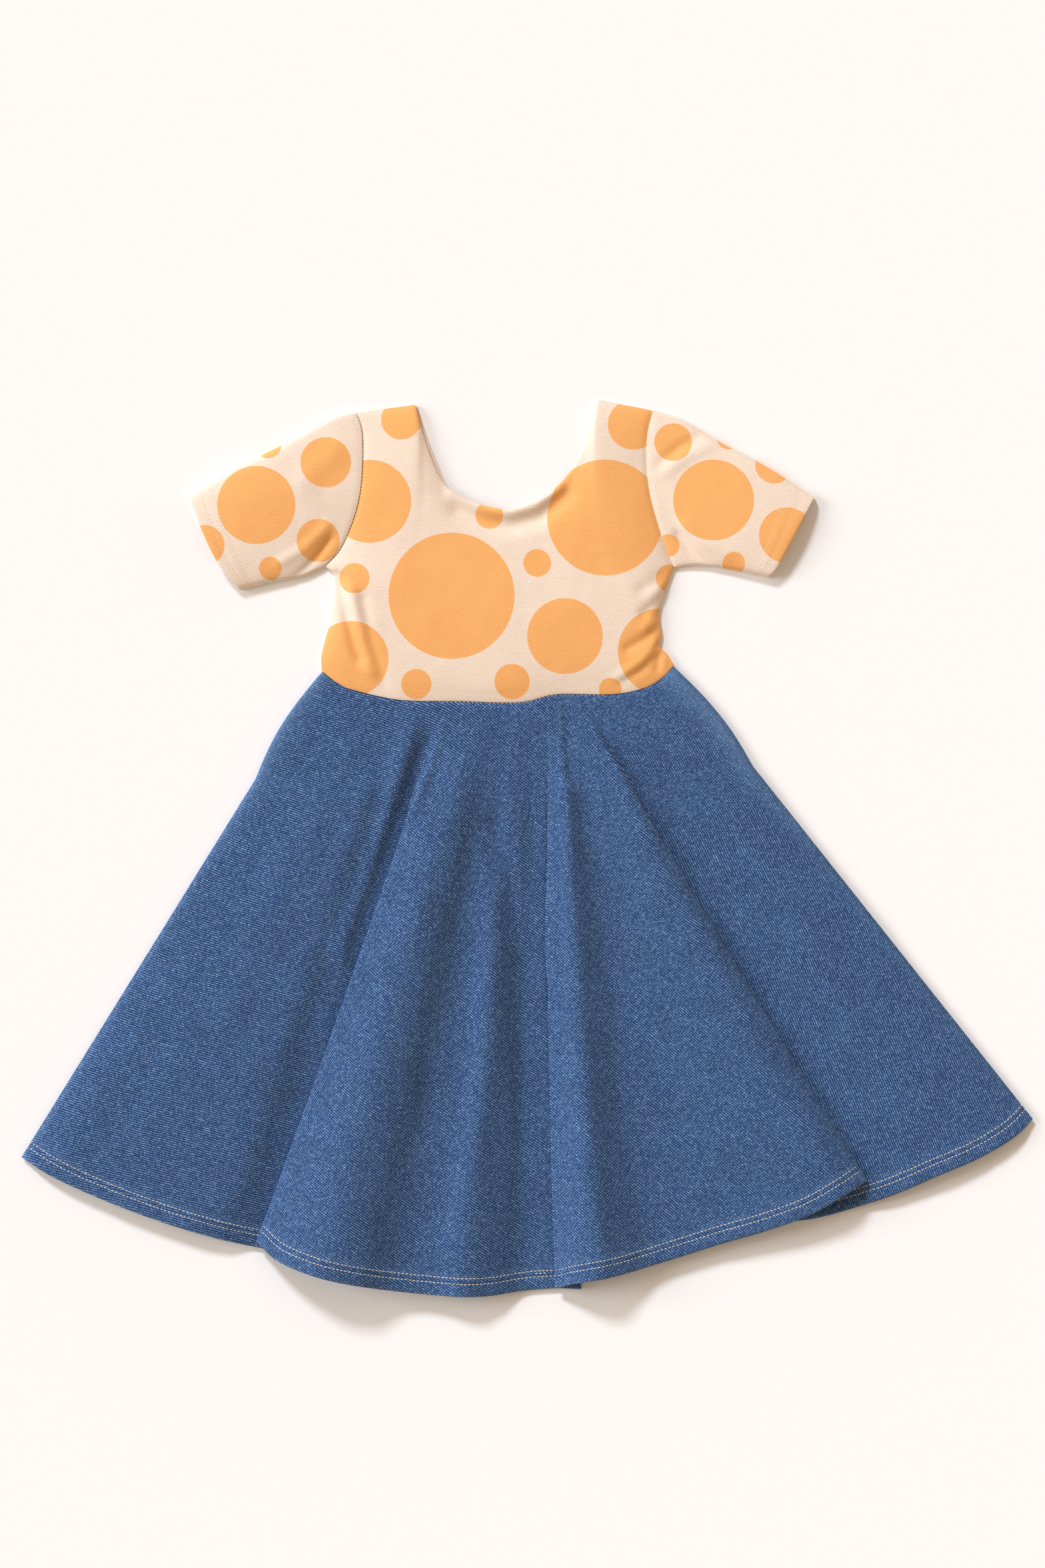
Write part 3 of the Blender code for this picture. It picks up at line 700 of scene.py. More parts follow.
def sleeve_lift(x, y, out, across):
    """Height of the sleeve's upper layer."""
    cap = ARMHOLE_RISE * math.sin(math.pi * across)
    full = SLEEVE_FULLNESS * math.sin(math.pi * across) ** 0.34
    swell = cap + (full - cap) * smooth_step(out, -0.15, 0.75)
    hold = math.sin(math.pi * across) ** 0.5 * smooth_step(out, 0.0, 0.2)
    swell -= SEAM_VALLEY * math.exp(-((out * SLEEVE_LENGTH / SEAM_VALLEY_REACH) ** 2))
    relief = crease_height(SLEEVE_CREASES, x, y) + JERSEY_SLACK * uneven(x, y, SLEEVE_SLACK_SCALE, 3)
    relief += JERSEY_RIPPLE * uneven(x, y, JERSEY_RIPPLE_SCALE, 4)
    from_cuff = (1.0 - out) * SLEEVE_LENGTH
    hem = CUFF_RISE * smooth_step(from_cuff, CUFF_ROWS[1] + 2.0, CUFF_ROWS[1])
    for row in CUFF_ROWS:
        hem -= CUFF_DIP * math.exp(-(((from_cuff - row) / CUFF_DIP_REACH) ** 2))
    hem -= CUFF_TURN * edge_turn(from_cuff)
    return JERSEY_BACK_LIFT + SLEEVE_TURN + max(-0.4, swell + (relief + hem) * hold)


def sleeve_ring(columns, turns):
    """Around a sleeve: share across and turn, from 0 on the upper layer to 1 on the lower one."""
    radius = SLEEVE_TURN / 2 / SLEEVE_DEPTH
    ring = [(radius + (1.0 - 2.0 * radius) * index / columns, 0.0) for index in range(columns + 1)]
    bend_round = [(radius * math.sin(math.pi * step / turns), step / turns) for step in range(1, turns)]
    ring += [(1.0 - radius + bulge, turn) for bulge, turn in bend_round]
    ring += [(1.0 - radius - (1.0 - 2.0 * radius) * index / columns, 1.0) for index in range(columns + 1)]
    ring += [(radius - bulge, 1.0 - turn) for bulge, turn in bend_round]
    return ring


def sleeve_point(outline, out, across, turn):
    x, y = sleeve_place(outline, out, across)
    low = JERSEY_BACK_LIFT
    if turn == 0.0:
        return (x, y, sleeve_lift(x, y, out, across))
    return (x, y, low + SLEEVE_TURN / 2 * (1.0 + math.cos(math.pi * turn)))


SLEEVE_SHARES_OUT = edge_steps(SLEEVE_LENGTH, 2.2, (0.0, 0.5, 1.2), (0.0, 0.4, 1.0, 1.8))
for side, outline in SLEEVE_OUTLINES.items():
    ring = sleeve_ring(48, 5)
    rows = [[sleeve_point(outline, out, across, turn) for across, turn in ring] for out in SLEEVE_SHARES_OUT]
    chart = [[(x, y) for x, y, _z in row] for row in rows]
    material = spotted_jersey("sleeve_" + side + "_jersey", SLEEVE_SPOTS[side])
    sleeve = make_cloth("sleeve_" + side + "_cloth", rows, chart, JERSEY_WALL, material, is_tube=True)
    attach(sleeve, "root")
    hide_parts("sleeve_" + side)


# Denim cloth
# Soft cotton twill, dark blue one way and pale the other, so that short pale dashes lie in slanting lines.
# It is matt, lightly brushed, and paler where it is worn at the hem and along the hem's fold, with a painted
# highlight along the side seams under the waist.
DENIM_DARK = (0.008, 0.026, 0.096, 1.0)
DENIM_MID = (0.046, 0.128, 0.322, 1.0)
DENIM_PALE = (0.230, 0.410, 0.690, 1.0)
DENIM_FLECK = (0.470, 0.610, 0.790, 1.0)
DASH_GRAIN = 0.85
TWILL_PITCH = 1.75
TWILL_SLANT = math.radians(42.0)
DENIM_ROUGHNESS = 0.85
DENIM_SHEEN = 0.08


def denim_twill():
    material, shader = new_material("denim_twill", DENIM_ROUGHNESS, DENIM_SHEEN)
    tree = material.node_tree
    place = cloth_place(tree, TWILL_SLANT)
    split = shader_node(tree, "ShaderNodeSeparateXYZ", [(0, place)])
    drift = sum_of(tree, sum_of(tree, grain(tree, place, 0.22, 2.0), 0.5, "SUBTRACT"), 1.3, "MULTIPLY")
    line = sum_of(tree, sum_of(tree, split.outputs[1], drift), TWILL_PITCH, "DIVIDE")
    index = sum_of(tree, line, 0.0, "FLOOR")
    share = sum_of(tree, line, 0.0, "FRACT")
    from_middle = sum_of(tree, sum_of(tree, share, 0.5, "SUBTRACT"), 0.0, "ABSOLUTE")
    ridge = in_range(tree, from_middle, 0.05, 0.44, 1.0, 0.0)

    # Each line's yarns come up in dashes of their own, and brushed fibres show as pale flecks.
    step = sum_of(tree, split.outputs[0], sum_of(tree, index, 7.31, "MULTIPLY"))
    aside = sum_of(tree, index, 3.17, "MULTIPLY")
    run = shader_node(tree, "ShaderNodeCombineXYZ", [(0, step), (1, aside)]).outputs[0]
    dash = in_range(tree, grain(tree, run, DASH_GRAIN, 1.0), 0.40, 0.60)
    heather = in_range(tree, grain(tree, place, 0.30, 3.0), 0.32, 0.68, 0.40, 1.35)
    pale = sum_of(tree, sum_of(tree, ridge, dash, "MULTIPLY"), heather, "MULTIPLY")
    fleck = in_range(tree, grain(tree, place, 1.9, 2.0), 0.60, 0.76)
    wear_and_highlight_share = shader_node(tree, "ShaderNodeAttribute", attribute_name="wear_and_highlight").outputs["Fac"]

    ground = blend_colours(tree, sum_of(tree, ridge, 0.74, "MULTIPLY"), DENIM_DARK, DENIM_MID)
    dashed = blend_colours(tree, sum_of(tree, pale, 0.62, "MULTIPLY"), ground, DENIM_PALE)
    flecked = blend_colours(tree, sum_of(tree, fleck, 0.55, "MULTIPLY"), dashed, DENIM_FLECK)
    # Paler where the skirt is worn at the hem, and a painted highlight along its side seams under the waist.
    worn_and_highlighted = blend_colours(tree, sum_of(tree, wear_and_highlight_share, 0.30, "MULTIPLY"), flecked, DENIM_PALE)
    cloudy = in_range(tree, grain(tree, place, 0.035, 3.0), 0.3, 0.7, 0.93, 1.07)
    tone = shader_node(tree, "ShaderNodeCombineColor", [(0, cloudy), (1, cloudy), (2, cloudy)]).outputs[0]
    tree.links.new(blend_colours(tree, 1.0, worn_and_highlighted, tone, "MULTIPLY"), shader.inputs["Base Color"])
    height = sum_of(tree, ridge, sum_of(tree, fleck, 0.5, "MULTIPLY"))
    links = [("Height", height), ("Strength", 0.45), ("Distance", 0.0004)]
    tree.links.new(shader_node(tree, "ShaderNodeBump", links).outputs[0], shader.inputs["Normal"])
    return material


denim = denim_twill()


# Skirt back
# A circle-type panel of the denim, lying flat on the surface under the front.
# It is sewn to the bodice back at the waist, and its hem is turned up once and stitched.
DENIM_WALL = 1.6
DENIM_BACK_LIFT = DENIM_WALL / 2
DENIM_FRONT_LIFT = DENIM_WALL * 1.5 + LAYER_GAP
SIDE_FLARE_OUTSET = 6.0
SIDE_FLARE_REACH = 0.22
BACK_HEM = (
    # across, up
    (-397.5, -243.5),
    (-340.0, -268.5),
    (-225.0, -304.5),
    (-120.0, -330.0),
    (-20.0, -338.0),
    (60.0, -330.0),
    (170.0, -297.0),
    (280.0, -266.0),
    (352.0, -238.0),
    (397.0, -212.5),
)
CUT_WAIST_RADIUS = 145.0
CUT_HEM_RADIUS = 600.0
SKIRT_LENGTH = 475.0
HEM_ROWS = (9.7, 14.3)
HEM_FOLD = 16.0
HEM_RISE = 0.35
HEM_DIP = 0.4
HEM_DIP_REACH = 1.3
HEM_PUCKER = 0.28
SKIRT_DROPS = edge_steps(
    SKIRT_LENGTH, 4.0, (0.0, 0.5, 1.2, 2.2, 4.0),
    (0.0, 0.4, 1.0, 1.8, 3.2, 5.0, 7.0, 8.4, 9.7, 10.9, 12.0, 13.1, 14.3, 15.6, 17.0, 19.0),
)


def side_outset(drop):
    """How far the skirt's side edges swing out just below the waist."""
    if drop >= SIDE_FLARE_REACH:
        return 0.0
    return SIDE_FLARE_OUTSET * math.sin(math.pi * drop / SIDE_FLARE_REACH)


def hem_relief(drop, x):
    """Height of the turned-up hem: a double layer, drawn in at its two rows of stitching."""
    from_hem = (1.0 - drop) * SKIRT_LENGTH
    if from_hem > HEM_FOLD + 4.0:
        return 0.0
    relief = HEM_RISE * smooth_step(from_hem, HEM_FOLD + 2.0, HEM_FOLD - 1.0)
    for row in HEM_ROWS:
        relief -= HEM_DIP * math.exp(-(((from_hem - row) / HEM_DIP_REACH) ** 2))
    puckers = smooth_step(from_hem, HEM_FOLD + 3.0, HEM_FOLD - 3.0)
    relief += HEM_PUCKER * uneven(x, from_hem * 0.4, 7.0, 5) * puckers
    return relief - edge_turn(from_hem)


def cut_row(row, drop):
    """Places on the cut panel of a row of points, from their true distances along the row."""
    radius = CUT_WAIST_RADIUS + (CUT_HEM_RADIUS - CUT_WAIST_RADIUS) * drop
    run = [0.0]
    for start, end in zip(row, row[1:]):
        run.append(run[-1] + math.dist(start, end))
    angles = [(distance - run[-1] / 2) / radius for distance in run]
    return [(radius * math.sin(angle), -radius * math.cos(angle)) for angle in angles]


def skirt_back_point(across, drop):
    top = along(WAIST_LINE, across)
    x, y = mix((top[0], top[1] - half_seam(top[0])), along(BACK_HEM, across), drop)
    outset = side_outset(drop) * (abs(2.0 * across - 1.0) ** 6)
    direction = 1.0 if across > 0.5 else -1.0
    return (x + direction * outset, y, DENIM_BACK_LIFT)


back_shares = edge_steps(800.0, 6.0, (0.0, 0.6, 1.6), (0.0, 0.6, 1.6))
rows = [[skirt_back_point(across, drop) for across in back_shares] for drop in SKIRT_DROPS]
chart = [cut_row(row, drop) for row, drop in zip(rows, SKIRT_DROPS)]
skirt_back = make_cloth("skirt_back_cloth", rows, chart, DENIM_WALL, denim)
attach(skirt_back, "root")
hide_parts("skirt_back")


# Skirt front
# The same circle-type panel of denim for the front, which lies in three soft folds.
# Each table row is one ruling of the flare: where it leaves the waist, and where it meets the hem.
LEFT_PANEL = (
    # name, waist_across, hem_across, hem_up, hem_lift, carried
    ("left side seam", -163.0, -401.5, -245.7, DENIM_FRONT_LIFT, 0.0),
    ("left edge roll", -154.0, -380.0, -259.0, 9.0, 1.0),
    ("left panel full", -138.0, -339.7, -277.5, 11.0, 3.0),
    ("left panel middle", -120.0, -286.7, -297.5, 12.0, 6.5),
    ("left panel dips", -101.0, -243.0, -310.5, 10.0, 7.0),
    ("left panel under the fold", -86.0, -218.0, -316.4, 3.8, 0.0),
    ("left panel hidden", -76.5, -190.0, -322.5, 3.5, 0.0),
)
CENTRE_PANEL = (
    # name, waist_across, hem_across, hem_up, hem_lift, carried
    ("centre rises", -54.0, -200.0, -325.5, 19.0, 8.5),
    ("centre near crest", -47.0, -184.0, -332.8, 27.0, 9.5),
    ("centre crest", -39.0, -163.0, -339.8, 32.0, 9.5),
    ("centre falls", -31.0, -139.0, -345.2, 28.5, 7.0),
    ("centre low", -22.5, -108.0, -350.5, 16.0, 2.0),
    ("centre swell foot", -15.0, -78.0, -353.8, 14.0, 1.0),
    ("centre swell", -8.0, -50.0, -355.4, 19.0, 2.0),
    ("centre swell falls", -1.0, -28.0, -354.8, 12.5, 1.0),
    ("centre floor", 7.0, -6.0, -351.8, 4.2, 0.0),
    ("centre floor end", 14.5, 14.0, -350.0, 2.9, 0.0),
)
RIGHT_CENTRE_PANEL = (
    # name, waist_across, hem_across, hem_up, hem_lift, carried
    ("narrow ridge foot", 23.0, 32.0, -346.6, 15.5, 4.5),
    ("narrow ridge", 24.4, 45.0, -343.4, 25.0, 6.0),
    ("narrow ridge crest", 25.8, 58.0, -341.0, 28.0, 6.5),
    ("narrow ridge falls", 27.2, 76.0, -337.4, 20.5, 5.0),
    ("narrow ridge end", 28.6, 97.0, -331.6, 12.5, 3.0),
    ("right centre low", 30.0, 122.0, -324.0, 10.5, 2.5),
    ("right centre rises", 31.4, 154.0, -313.8, 11.5, 3.5),
    ("right centre full", 32.8, 190.0, -303.2, 14.5, 6.5),
    ("right centre crest", 34.2, 226.0, -289.6, 18.5, 9.0),
    ("right centre edge", 35.6, 252.0, -274.6, 19.5, 9.0),
)
RIGHT_PANEL = (
    # name, waist_across, hem_across, hem_up, hem_lift, carried
    ("right panel hidden", 55.0, 225.8, -294.6, 3.4, 0.0),
    ("right panel shows", 61.5, 256.0, -286.8, 4.2, 0.0),
    ("right panel rises", 70.5, 292.0, -274.8, 7.5, 0.0),
    ("right panel full", 81.0, 328.0, -259.2, 9.5, 0.0),
    ("right panel middle", 92.5, 362.0, -244.4, 9.0, 0.0),
    ("right edge roll", 105.0, 390.0, -227.0, 6.5, 0.0),
    ("right side seam", 116.5, 401.5, -215.4, DENIM_FRONT_LIFT, 0.0),
)
CARRIED_FROM = 0.28
SKIRT_FOLDS = {
    # lifts are of the lower layer, the middle one at the tuck and at the tip, and the upper layer
    "left": {
        "waist_across": -63.5,
        "tip": (-214.5, -313.5),
        "tuck": (-158.0, -329.4),
        "lifts": (3.5, 6.4, 8.4, 12.0),
        "spread_at_waist": 1.6,
        "opens": 0.05,
        "overlaps": 0.19,
        "bow": 2.0,
    },
    "notch": {
        "waist_across": 19.0,
        "tip": (23.3, -349.0),
        "tuck": (42.2, -350.2),
        "lifts": (2.9, 5.1, 6.5, 8.8),
        "spread_at_waist": 0.7,
        "opens": 0.18,
        "overlaps": 0.44,
        "bow": -3.5,
    },
    "right": {
        "waist_across": 40.0,
        "tip": (269.2, -264.2),
        "tuck": (189.0, -299.0),
        "lifts": (3.6, 6.4, 8.6, 12.2),
        "spread_at_waist": 1.2,
        "opens": 0.05,
        "overlaps": 0.20,
        "bow": -2.5,
    },
}
FOLD_TURN = 1.7
COLUMN_SPACING = 6.0
WAIST_TUCK = 1.9
STREAKS = 0.8
HELD_BY_WAIST = 0.12
SKIRT_SLACK = 0.6
SKIRT_RIPPLE = 0.2
SKIRT_DIP = 0.25
FLARE_CENTRE = (-25.0, 330.0)
FLARE_RADIUS = 330.0
SKIRT_CREASES = (
    # name, height, half width, points (across, up)
    ("roll beside the left fold", 6.4, 9.5,
     ((-90.0, 98.0), (-103.0, 50.0), (-124.0, -20.0), (-145.0, -80.0))),
    ("its softer foot", 2.4, 9.5, ((-148.0, -92.0), (-164.0, -150.0))),
    ("valley at the left fold", -3.2, 6.0, ((-80.0, 98.0), (-95.0, 50.0), (-119.0, -20.0), (-140.0, -80.0))),
    ("soft start of the notch", -2.8, 6.0, ((27.0, 112.0), (29.0, 90.0), (32.0, 56.0))),
    ("soft start of the left fold", -1.8, 6.0, ((-66.0, 112.0), (-72.0, 92.0), (-79.0, 68.0))),
    ("faint ridge on the left panel", 0.8, 16.0, ((-190.0, 0.0), (-300.0, -210.0))),
    ("hollow down the centre", -2.6, 9.0, ((-24.0, 20.0), (-8.0, -90.0), (-3.0, -180.0), (2.0, -300.0))),
    ("soft ridge left of it", 1.4, 9.0, ((-30.0, -20.0), (-30.0, -150.0), (-46.0, -260.0), (-58.0, -330.0))),
    ("faint streak on the right panel", 0.9, 9.0, ((164.0, 30.0), (270.0, -158.0))),
)


def ruling_point(ruling, drop):
    """Point on a ruling of the skirt front, at a share of the drop from waist to hem."""
    waist_across, hem_across, hem_up, hem_lift, carried = ruling
    x, y = mix(waist_point(waist_across), (hem_across, hem_up), drop)
    y -= half_seam(waist_across) * (1.0 - drop)
    waist_lift = DENIM_FRONT_LIFT + waist_bump(waist_across)
    held = carried * smooth_step(drop, 0.0, CARRIED_FROM)
    return (x, y, waist_lift + held + (hem_lift - waist_lift - carried) * drop)


def fold_points(fold, drop):
    """The six columns of a fold, in order from the lower layer to the upper one.

    Near the waist they lie side by side, and further down they close into the fold.
    """
    waist_across = fold["waist_across"]
    reach = math.dist(fold["tip"], fold["tuck"])
    direction = tuple((b - a) / reach for a, b in zip(fold["tip"], fold["tuck"]))
    heading = 1.0 if direction[0] > 0.0 else -1.0
    bow = fold["bow"] * math.sin(math.pi * drop)
    tip = mix(waist_point(waist_across), fold["tip"], drop)
    overlap = reach * max(0.0, drop - fold["overlaps"]) / (1.0 - fold["overlaps"])
    folded = (overlap - FOLD_TURN, overlap, overlap - FOLD_TURN, FOLD_TURN, 0.0, FOLD_TURN)
    closed = smooth_step(drop, fold["opens"], fold["overlaps"])

    low, at_tuck, at_tip, high = fold["lifts"]
    lifts = (low, (low + at_tuck) / 2, at_tuck, at_tip, (at_tip + high) / 2, high)
    waist_lift = DENIM_FRONT_LIFT + waist_bump(waist_across)
    rise = smooth_step(drop, 0.0, fold["overlaps"])
    points = []
    for index, (place, lift) in enumerate(zip(folded, lifts)):
        aside = fold["spread_at_waist"] * (index - 2.5)
        at_waist = waist_point(waist_across + heading * aside)
        at_hem = (fold["tip"][0] + direction[0] * aside, fold["tip"][1] + direction[1] * aside)
        side_by_side = mix(at_waist, at_hem, drop)
        in_fold = (tip[0] + direction[0] * place, tip[1] + direction[1] * place)
        x, y = mix(side_by_side, in_fold, closed)
        y -= half_seam(waist_across) * (1.0 - drop)
        points.append((x + bow, y, waist_lift + (lift - waist_lift) * rise))
    return points


def skirt_guides(drop):
    """The guide points of the skirt front at a drop, from its left side seam to its right."""
    row = [ruling_point(ruling[1:], drop) for ruling in LEFT_PANEL]
    row += fold_points(SKIRT_FOLDS["left"], drop)
    row += [ruling_point(ruling[1:], drop) for ruling in CENTRE_PANEL]
    row += fold_points(SKIRT_FOLDS["notch"], drop)
    row += [ruling_point(ruling[1:], drop) for ruling in RIGHT_CENTRE_PANEL]
    row += reversed(fold_points(SKIRT_FOLDS["right"], drop))
    row += [ruling_point(ruling[1:], drop) for ruling in RIGHT_PANEL]
    outset = side_outset(drop)
    for index, share in enumerate((1.0, 0.6)):
        left = row[index]
        right = row[-1 - index]
        row[index] = (left[0] - outset * share, left[1], left[2])
        row[-1 - index] = (right[0] + outset * share, right[1], right[2])
    return row


def rounded(before, start, end, after, share):
    """Curve between start and end that never loops, however uneven the guide points' spacing."""
    marks = [0.0]
    for first, second in zip((before, start, end), (start, end, after)):
        marks.append(marks[-1] + max(0.01, math.dist(first, second)) ** 0.5)
    place = marks[1] + (marks[2] - marks[1]) * share

    def between(first, second, low, high):
        return mix(first, second, (place - low) / (high - low))

    lower = between(before, start, marks[0], marks[1])
    middle = between(start, end, marks[1], marks[2])
    upper = between(end, after, marks[2], marks[3])
    early = between(lower, middle, marks[0], marks[2])
    late = between(middle, upper, marks[1], marks[3])
    return between(early, late, marks[1], marks[2])


def between_guides(guides, steps):
    """A row of points on a smooth curve through the guides, with given steps in each span."""
    ends = padded(guides)
    row = []
    for index, count in enumerate(steps):
        row += [rounded(*ends[index:index + 4], step / count) for step in range(count)]
    return row + [guides[-1]]


hem_guides = skirt_guides(1.0)
hem_spans = [math.dist(start, end) for start, end in zip(hem_guides, hem_guides[1:])]
column_steps = [max(2, round(span / COLUMN_SPACING)) for span in hem_spans]
hem_row = between_guides(hem_guides, column_steps)
hem_run = [0.0]
for start, end in zip(hem_row, hem_row[1:]):
    hem_run.append(hem_run[-1] + math.dist(start, end))
skirt_turned = [run / hem_run[-1] for run in hem_run]


def streak(x, y):
    """Long uneven ripples that fan out from the waist with the flare, from -1 to 1."""
    aside = x - FLARE_CENTRE[0]
    below = FLARE_CENTRE[1] - y
    fan = math.atan2(aside, below) * FLARE_RADIUS
    down = math.hypot(aside, below)
    return uneven(fan, down * 0.16, 17.0, 8) + 0.5 * uneven(fan, down * 0.2, 8.0, 9)


def skirt_front_row(drop):
    """A row of the skirt front with its finer relief."""
    row = []
    for x, y, z in between_guides(skirt_guides(drop), column_steps):
        free = smooth_step(drop, 0.0, HELD_BY_WAIST)
        lift = (SKIRT_SLACK * uneven(x, y, 60.0, 6) + SKIRT_RIPPLE * uneven(x, y, 16.0, 7)) * free
        lift += crease_height(SKIRT_CREASES, x, y) * free + STREAKS * streak(x, y) * free
        lift += hem_relief(drop, x) - WAIST_TUCK * edge_turn(drop * SKIRT_LENGTH / 2.0)
        row.append((x, y, max(z + lift, DENIM_FRONT_LIFT - SKIRT_DIP)))
    return row


def wear_and_highlight_at(column, drop):
    """How much paler the skirt is: worn at the hem's edge, and a painted highlight along the side seams under
    the waist.
    """
    from_hem = (1.0 - drop) * SKIRT_LENGTH
    at_hem = 0.5 * math.exp(-((from_hem / 1.6) ** 2)) + 0.22 * math.exp(-(((from_hem - HEM_FOLD) / 2.0) ** 2))
    side = min(skirt_turned[column], 1.0 - skirt_turned[column]) * hem_run[-1] * (0.3 + 0.7 * drop)
    # Painted highlight: the rounded side edges are paler just under the waist, fading further down.
    side_highlight = 0.8 * math.exp(-((side / 5.0) ** 2)) * (1.0 - 0.6 * smooth_step(drop, 0.1, 0.5))
    return min(1.0, at_hem + side_highlight)


rows = [skirt_front_row(drop) for drop in SKIRT_DROPS]
chart = [cut_row(row, drop) for row, drop in zip(rows, SKIRT_DROPS)]
wear_and_highlight = [[wear_and_highlight_at(column, drop) for column in range(len(skirt_turned))] for drop in SKIRT_DROPS]
skirt_front = make_cloth("skirt_front_cloth", rows, chart, DENIM_WALL, denim, wear_and_highlight)
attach(skirt_front, "root")
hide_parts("skirt_front")


# Stitching
# Lockstitch threads lie on the cloth in short dashes: two cream rows on the hem and each cuff,
# a brown row along the left armhole, and cream flecks of thread down in the waist seam.
HEM_THREAD = (0.84, 0.78, 0.64, 1.0)
CUFF_THREAD = (0.86, 0.70, 0.55, 1.0)
ARMHOLE_THREAD = (0.16, 0.07, 0.03, 1.0)
WAIST_THREAD = (0.78, 0.56, 0.36, 1.0)
# Stitches: pitch, length, width
HEM_STITCH = (3.2, 2.4, 0.66)
CUFF_STITCH = (3.0, 2.1, 0.5)
ARMHOLE_STITCH = (2.6, 1.5, 0.42)
WAIST_STITCH = (3.3, 1.3, 0.55)
BACK_TACK = (3.0, 19.0)
BACK_TACK_UP = 12.2
WAIST_THREAD_DROP = 0.7
WAIST_THREAD_START = -70.0
WAIST_THREAD_LENGTH = 130.0


def thread_material(name, colour):
    """Spun cotton thread: matt, with a fine twisted grain."""
    material, shader = new_material(name, 0.8, 0.05)
    tree = material.node_tree
    where = shader_node(tree, "ShaderNodeTexCoord").outputs["Object"]
    twist = in_range(tree, grain(tree, where, 1400.0, 2.0), 0.3, 0.7, 0.75, 1.1)
    tone = shader_node(tree, "ShaderNodeCombineColor", [(0, twist), (1, twist), (2, twist)]).outputs[0]
    tree.links.new(blend_colours(tree, 1.0, colour, tone, "MULTIPLY"), shader.inputs["Base Color"])
    return material


def stitch_tree():
    """Node tree that lays one short rounded stitch at every pitch along a path."""
    tree = bpy.data.node_groups.new("stitch_row", "GeometryNodeTree")
    sockets = tree.interface
    sockets.new_socket("Geometry", in_out="INPUT", socket_type="NodeSocketGeometry")
    for name, value in (("Pitch", 0.0032), ("Length", 0.0023), ("Width", 0.0006), ("Unevenness", 0.12)):
        socket = sockets.new_socket(name, in_out="INPUT", socket_type="NodeSocketFloat")
        socket.default_value = value
    sockets.new_socket("Thread", in_out="INPUT", socket_type="NodeSocketMaterial")
    sockets.new_socket("Geometry", in_out="OUTPUT", socket_type="NodeSocketGeometry")
    given = tree.nodes.new("NodeGroupInput").outputs
    result = tree.nodes.new("NodeGroupOutput")

    links = [("Curve", given["Geometry"]), ("Length", given["Pitch"])]
    even = shader_node(tree, "GeometryNodeResampleCurve", links, mode="LENGTH")
    bead = shader_node(tree, "GeometryNodeMeshIcoSphere", [("Radius", 0.5), ("Subdivisions", 2)])
    soft = shader_node(tree, "GeometryNodeSetShadeSmooth", [("Geometry", bead.outputs[0])])
    tangent = tree.nodes.new("GeometryNodeInputTangent")
    links = [("Vector", tangent.outputs[0])]
    turned = shader_node(tree, "FunctionNodeAlignRotationToVector", links, axis="X")
    low = sum_of(tree, 1.0, given["Unevenness"], "SUBTRACT")
    high = sum_of(tree, 1.0, given["Unevenness"])
    links = [(2, low), (3, high), ("Seed", 4)]
    varied = shader_node(tree, "FunctionNodeRandomValue", links, data_type="FLOAT")
    long = sum_of(tree, given["Length"], varied.outputs[1], "MULTIPLY")
    size = shader_node(tree, "ShaderNodeCombineXYZ", [(0, long), (1, given["Width"]), (2, given["Width"])])
    laid = shader_node(tree, "GeometryNodeInstanceOnPoints", [
        ("Points", even.outputs[0]), ("Instance", soft.outputs[0]),
        ("Rotation", turned.outputs[0]), ("Scale", size.outputs[0]),
    ])
    real = shader_node(tree, "GeometryNodeRealizeInstances", [("Geometry", laid.outputs[0])])
    links = [("Geometry", real.outputs[0]), ("Material", given["Thread"])]
    finished = shader_node(tree, "GeometryNodeSetMaterial", links)
    tree.links.new(finished.outputs[0], result.inputs[0])
    return tree


stitch_row = stitch_tree()


def sew(name, paths, stitch, thread):
    """Rows of stitches along paths in millimetres, as one plain mesh."""
    pitch, length, width = stitch
    curve = bpy.data.curves.new(name + "_path", "CURVE")
    curve.dimensions = "3D"
    for path in paths:
        spline = curve.splines.new("POLY")
        spline.points.add(len(path) - 1)
        for point, place in zip(spline.points, path):
            point.co = (place[0] * MM, place[1] * MM, place[2] * MM, 1.0)
    guide = bpy.data.objects.new(name + "_path", curve)
    bpy.context.scene.collection.objects.link(guide)
    modifier = guide.modifiers.new("stitches", "NODES")
    modifier.node_group = stitch_row
    values = {"Pitch": pitch * MM, "Length": length * MM, "Width": width * MM, "Thread": thread}
    for item in stitch_row.interface.items_tree:
        if item.in_out == "INPUT" and item.name in values:
            modifier[item.identifier] = values[item.name]
    evaluated = guide.evaluated_get(bpy.context.evaluated_depsgraph_get())
    mesh = bpy.data.meshes.new_from_object(evaluated)
    mesh.name = name
    bpy.data.objects.remove(guide, do_unlink=True)
    stitches = bpy.data.objects.new(name, mesh)
    bpy.context.scene.collection.objects.link(stitches)
    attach(stitches, "root")


def row_at(distance):
    """A row of the skirt front at a distance from its hem, on the cloth's outer face."""
    points = skirt_front_row(1.0 - distance / SKIRT_LENGTH)
    return [(x, y, z + DENIM_WALL / 2 + 0.05) for x, y, z in points]


hem_thread = thread_material("hem_thread", HEM_THREAD)
hem_paths = [row_at(distance) for distance in HEM_ROWS]
hem_paths.append([point for point in row_at(BACK_TACK_UP) if BACK_TACK[0] < point[0] < BACK_TACK[1]])
sew("skirt_hem_stitches", hem_paths, HEM_STITCH, hem_thread)


def cuff_row(outline, distance):
    """A row round the upper layer of a sleeve at a distance from its cuff, on its outer face."""
    out = 1.0 - distance / SLEEVE_LENGTH
    path = []
    for step in range(49):
        across = 0.01 + 0.98 * step / 48
        x, y = sleeve_place(outline, out, across)
        path.append((x, y, sleeve_lift(x, y, out, across) + JERSEY_WALL / 2))
    return path


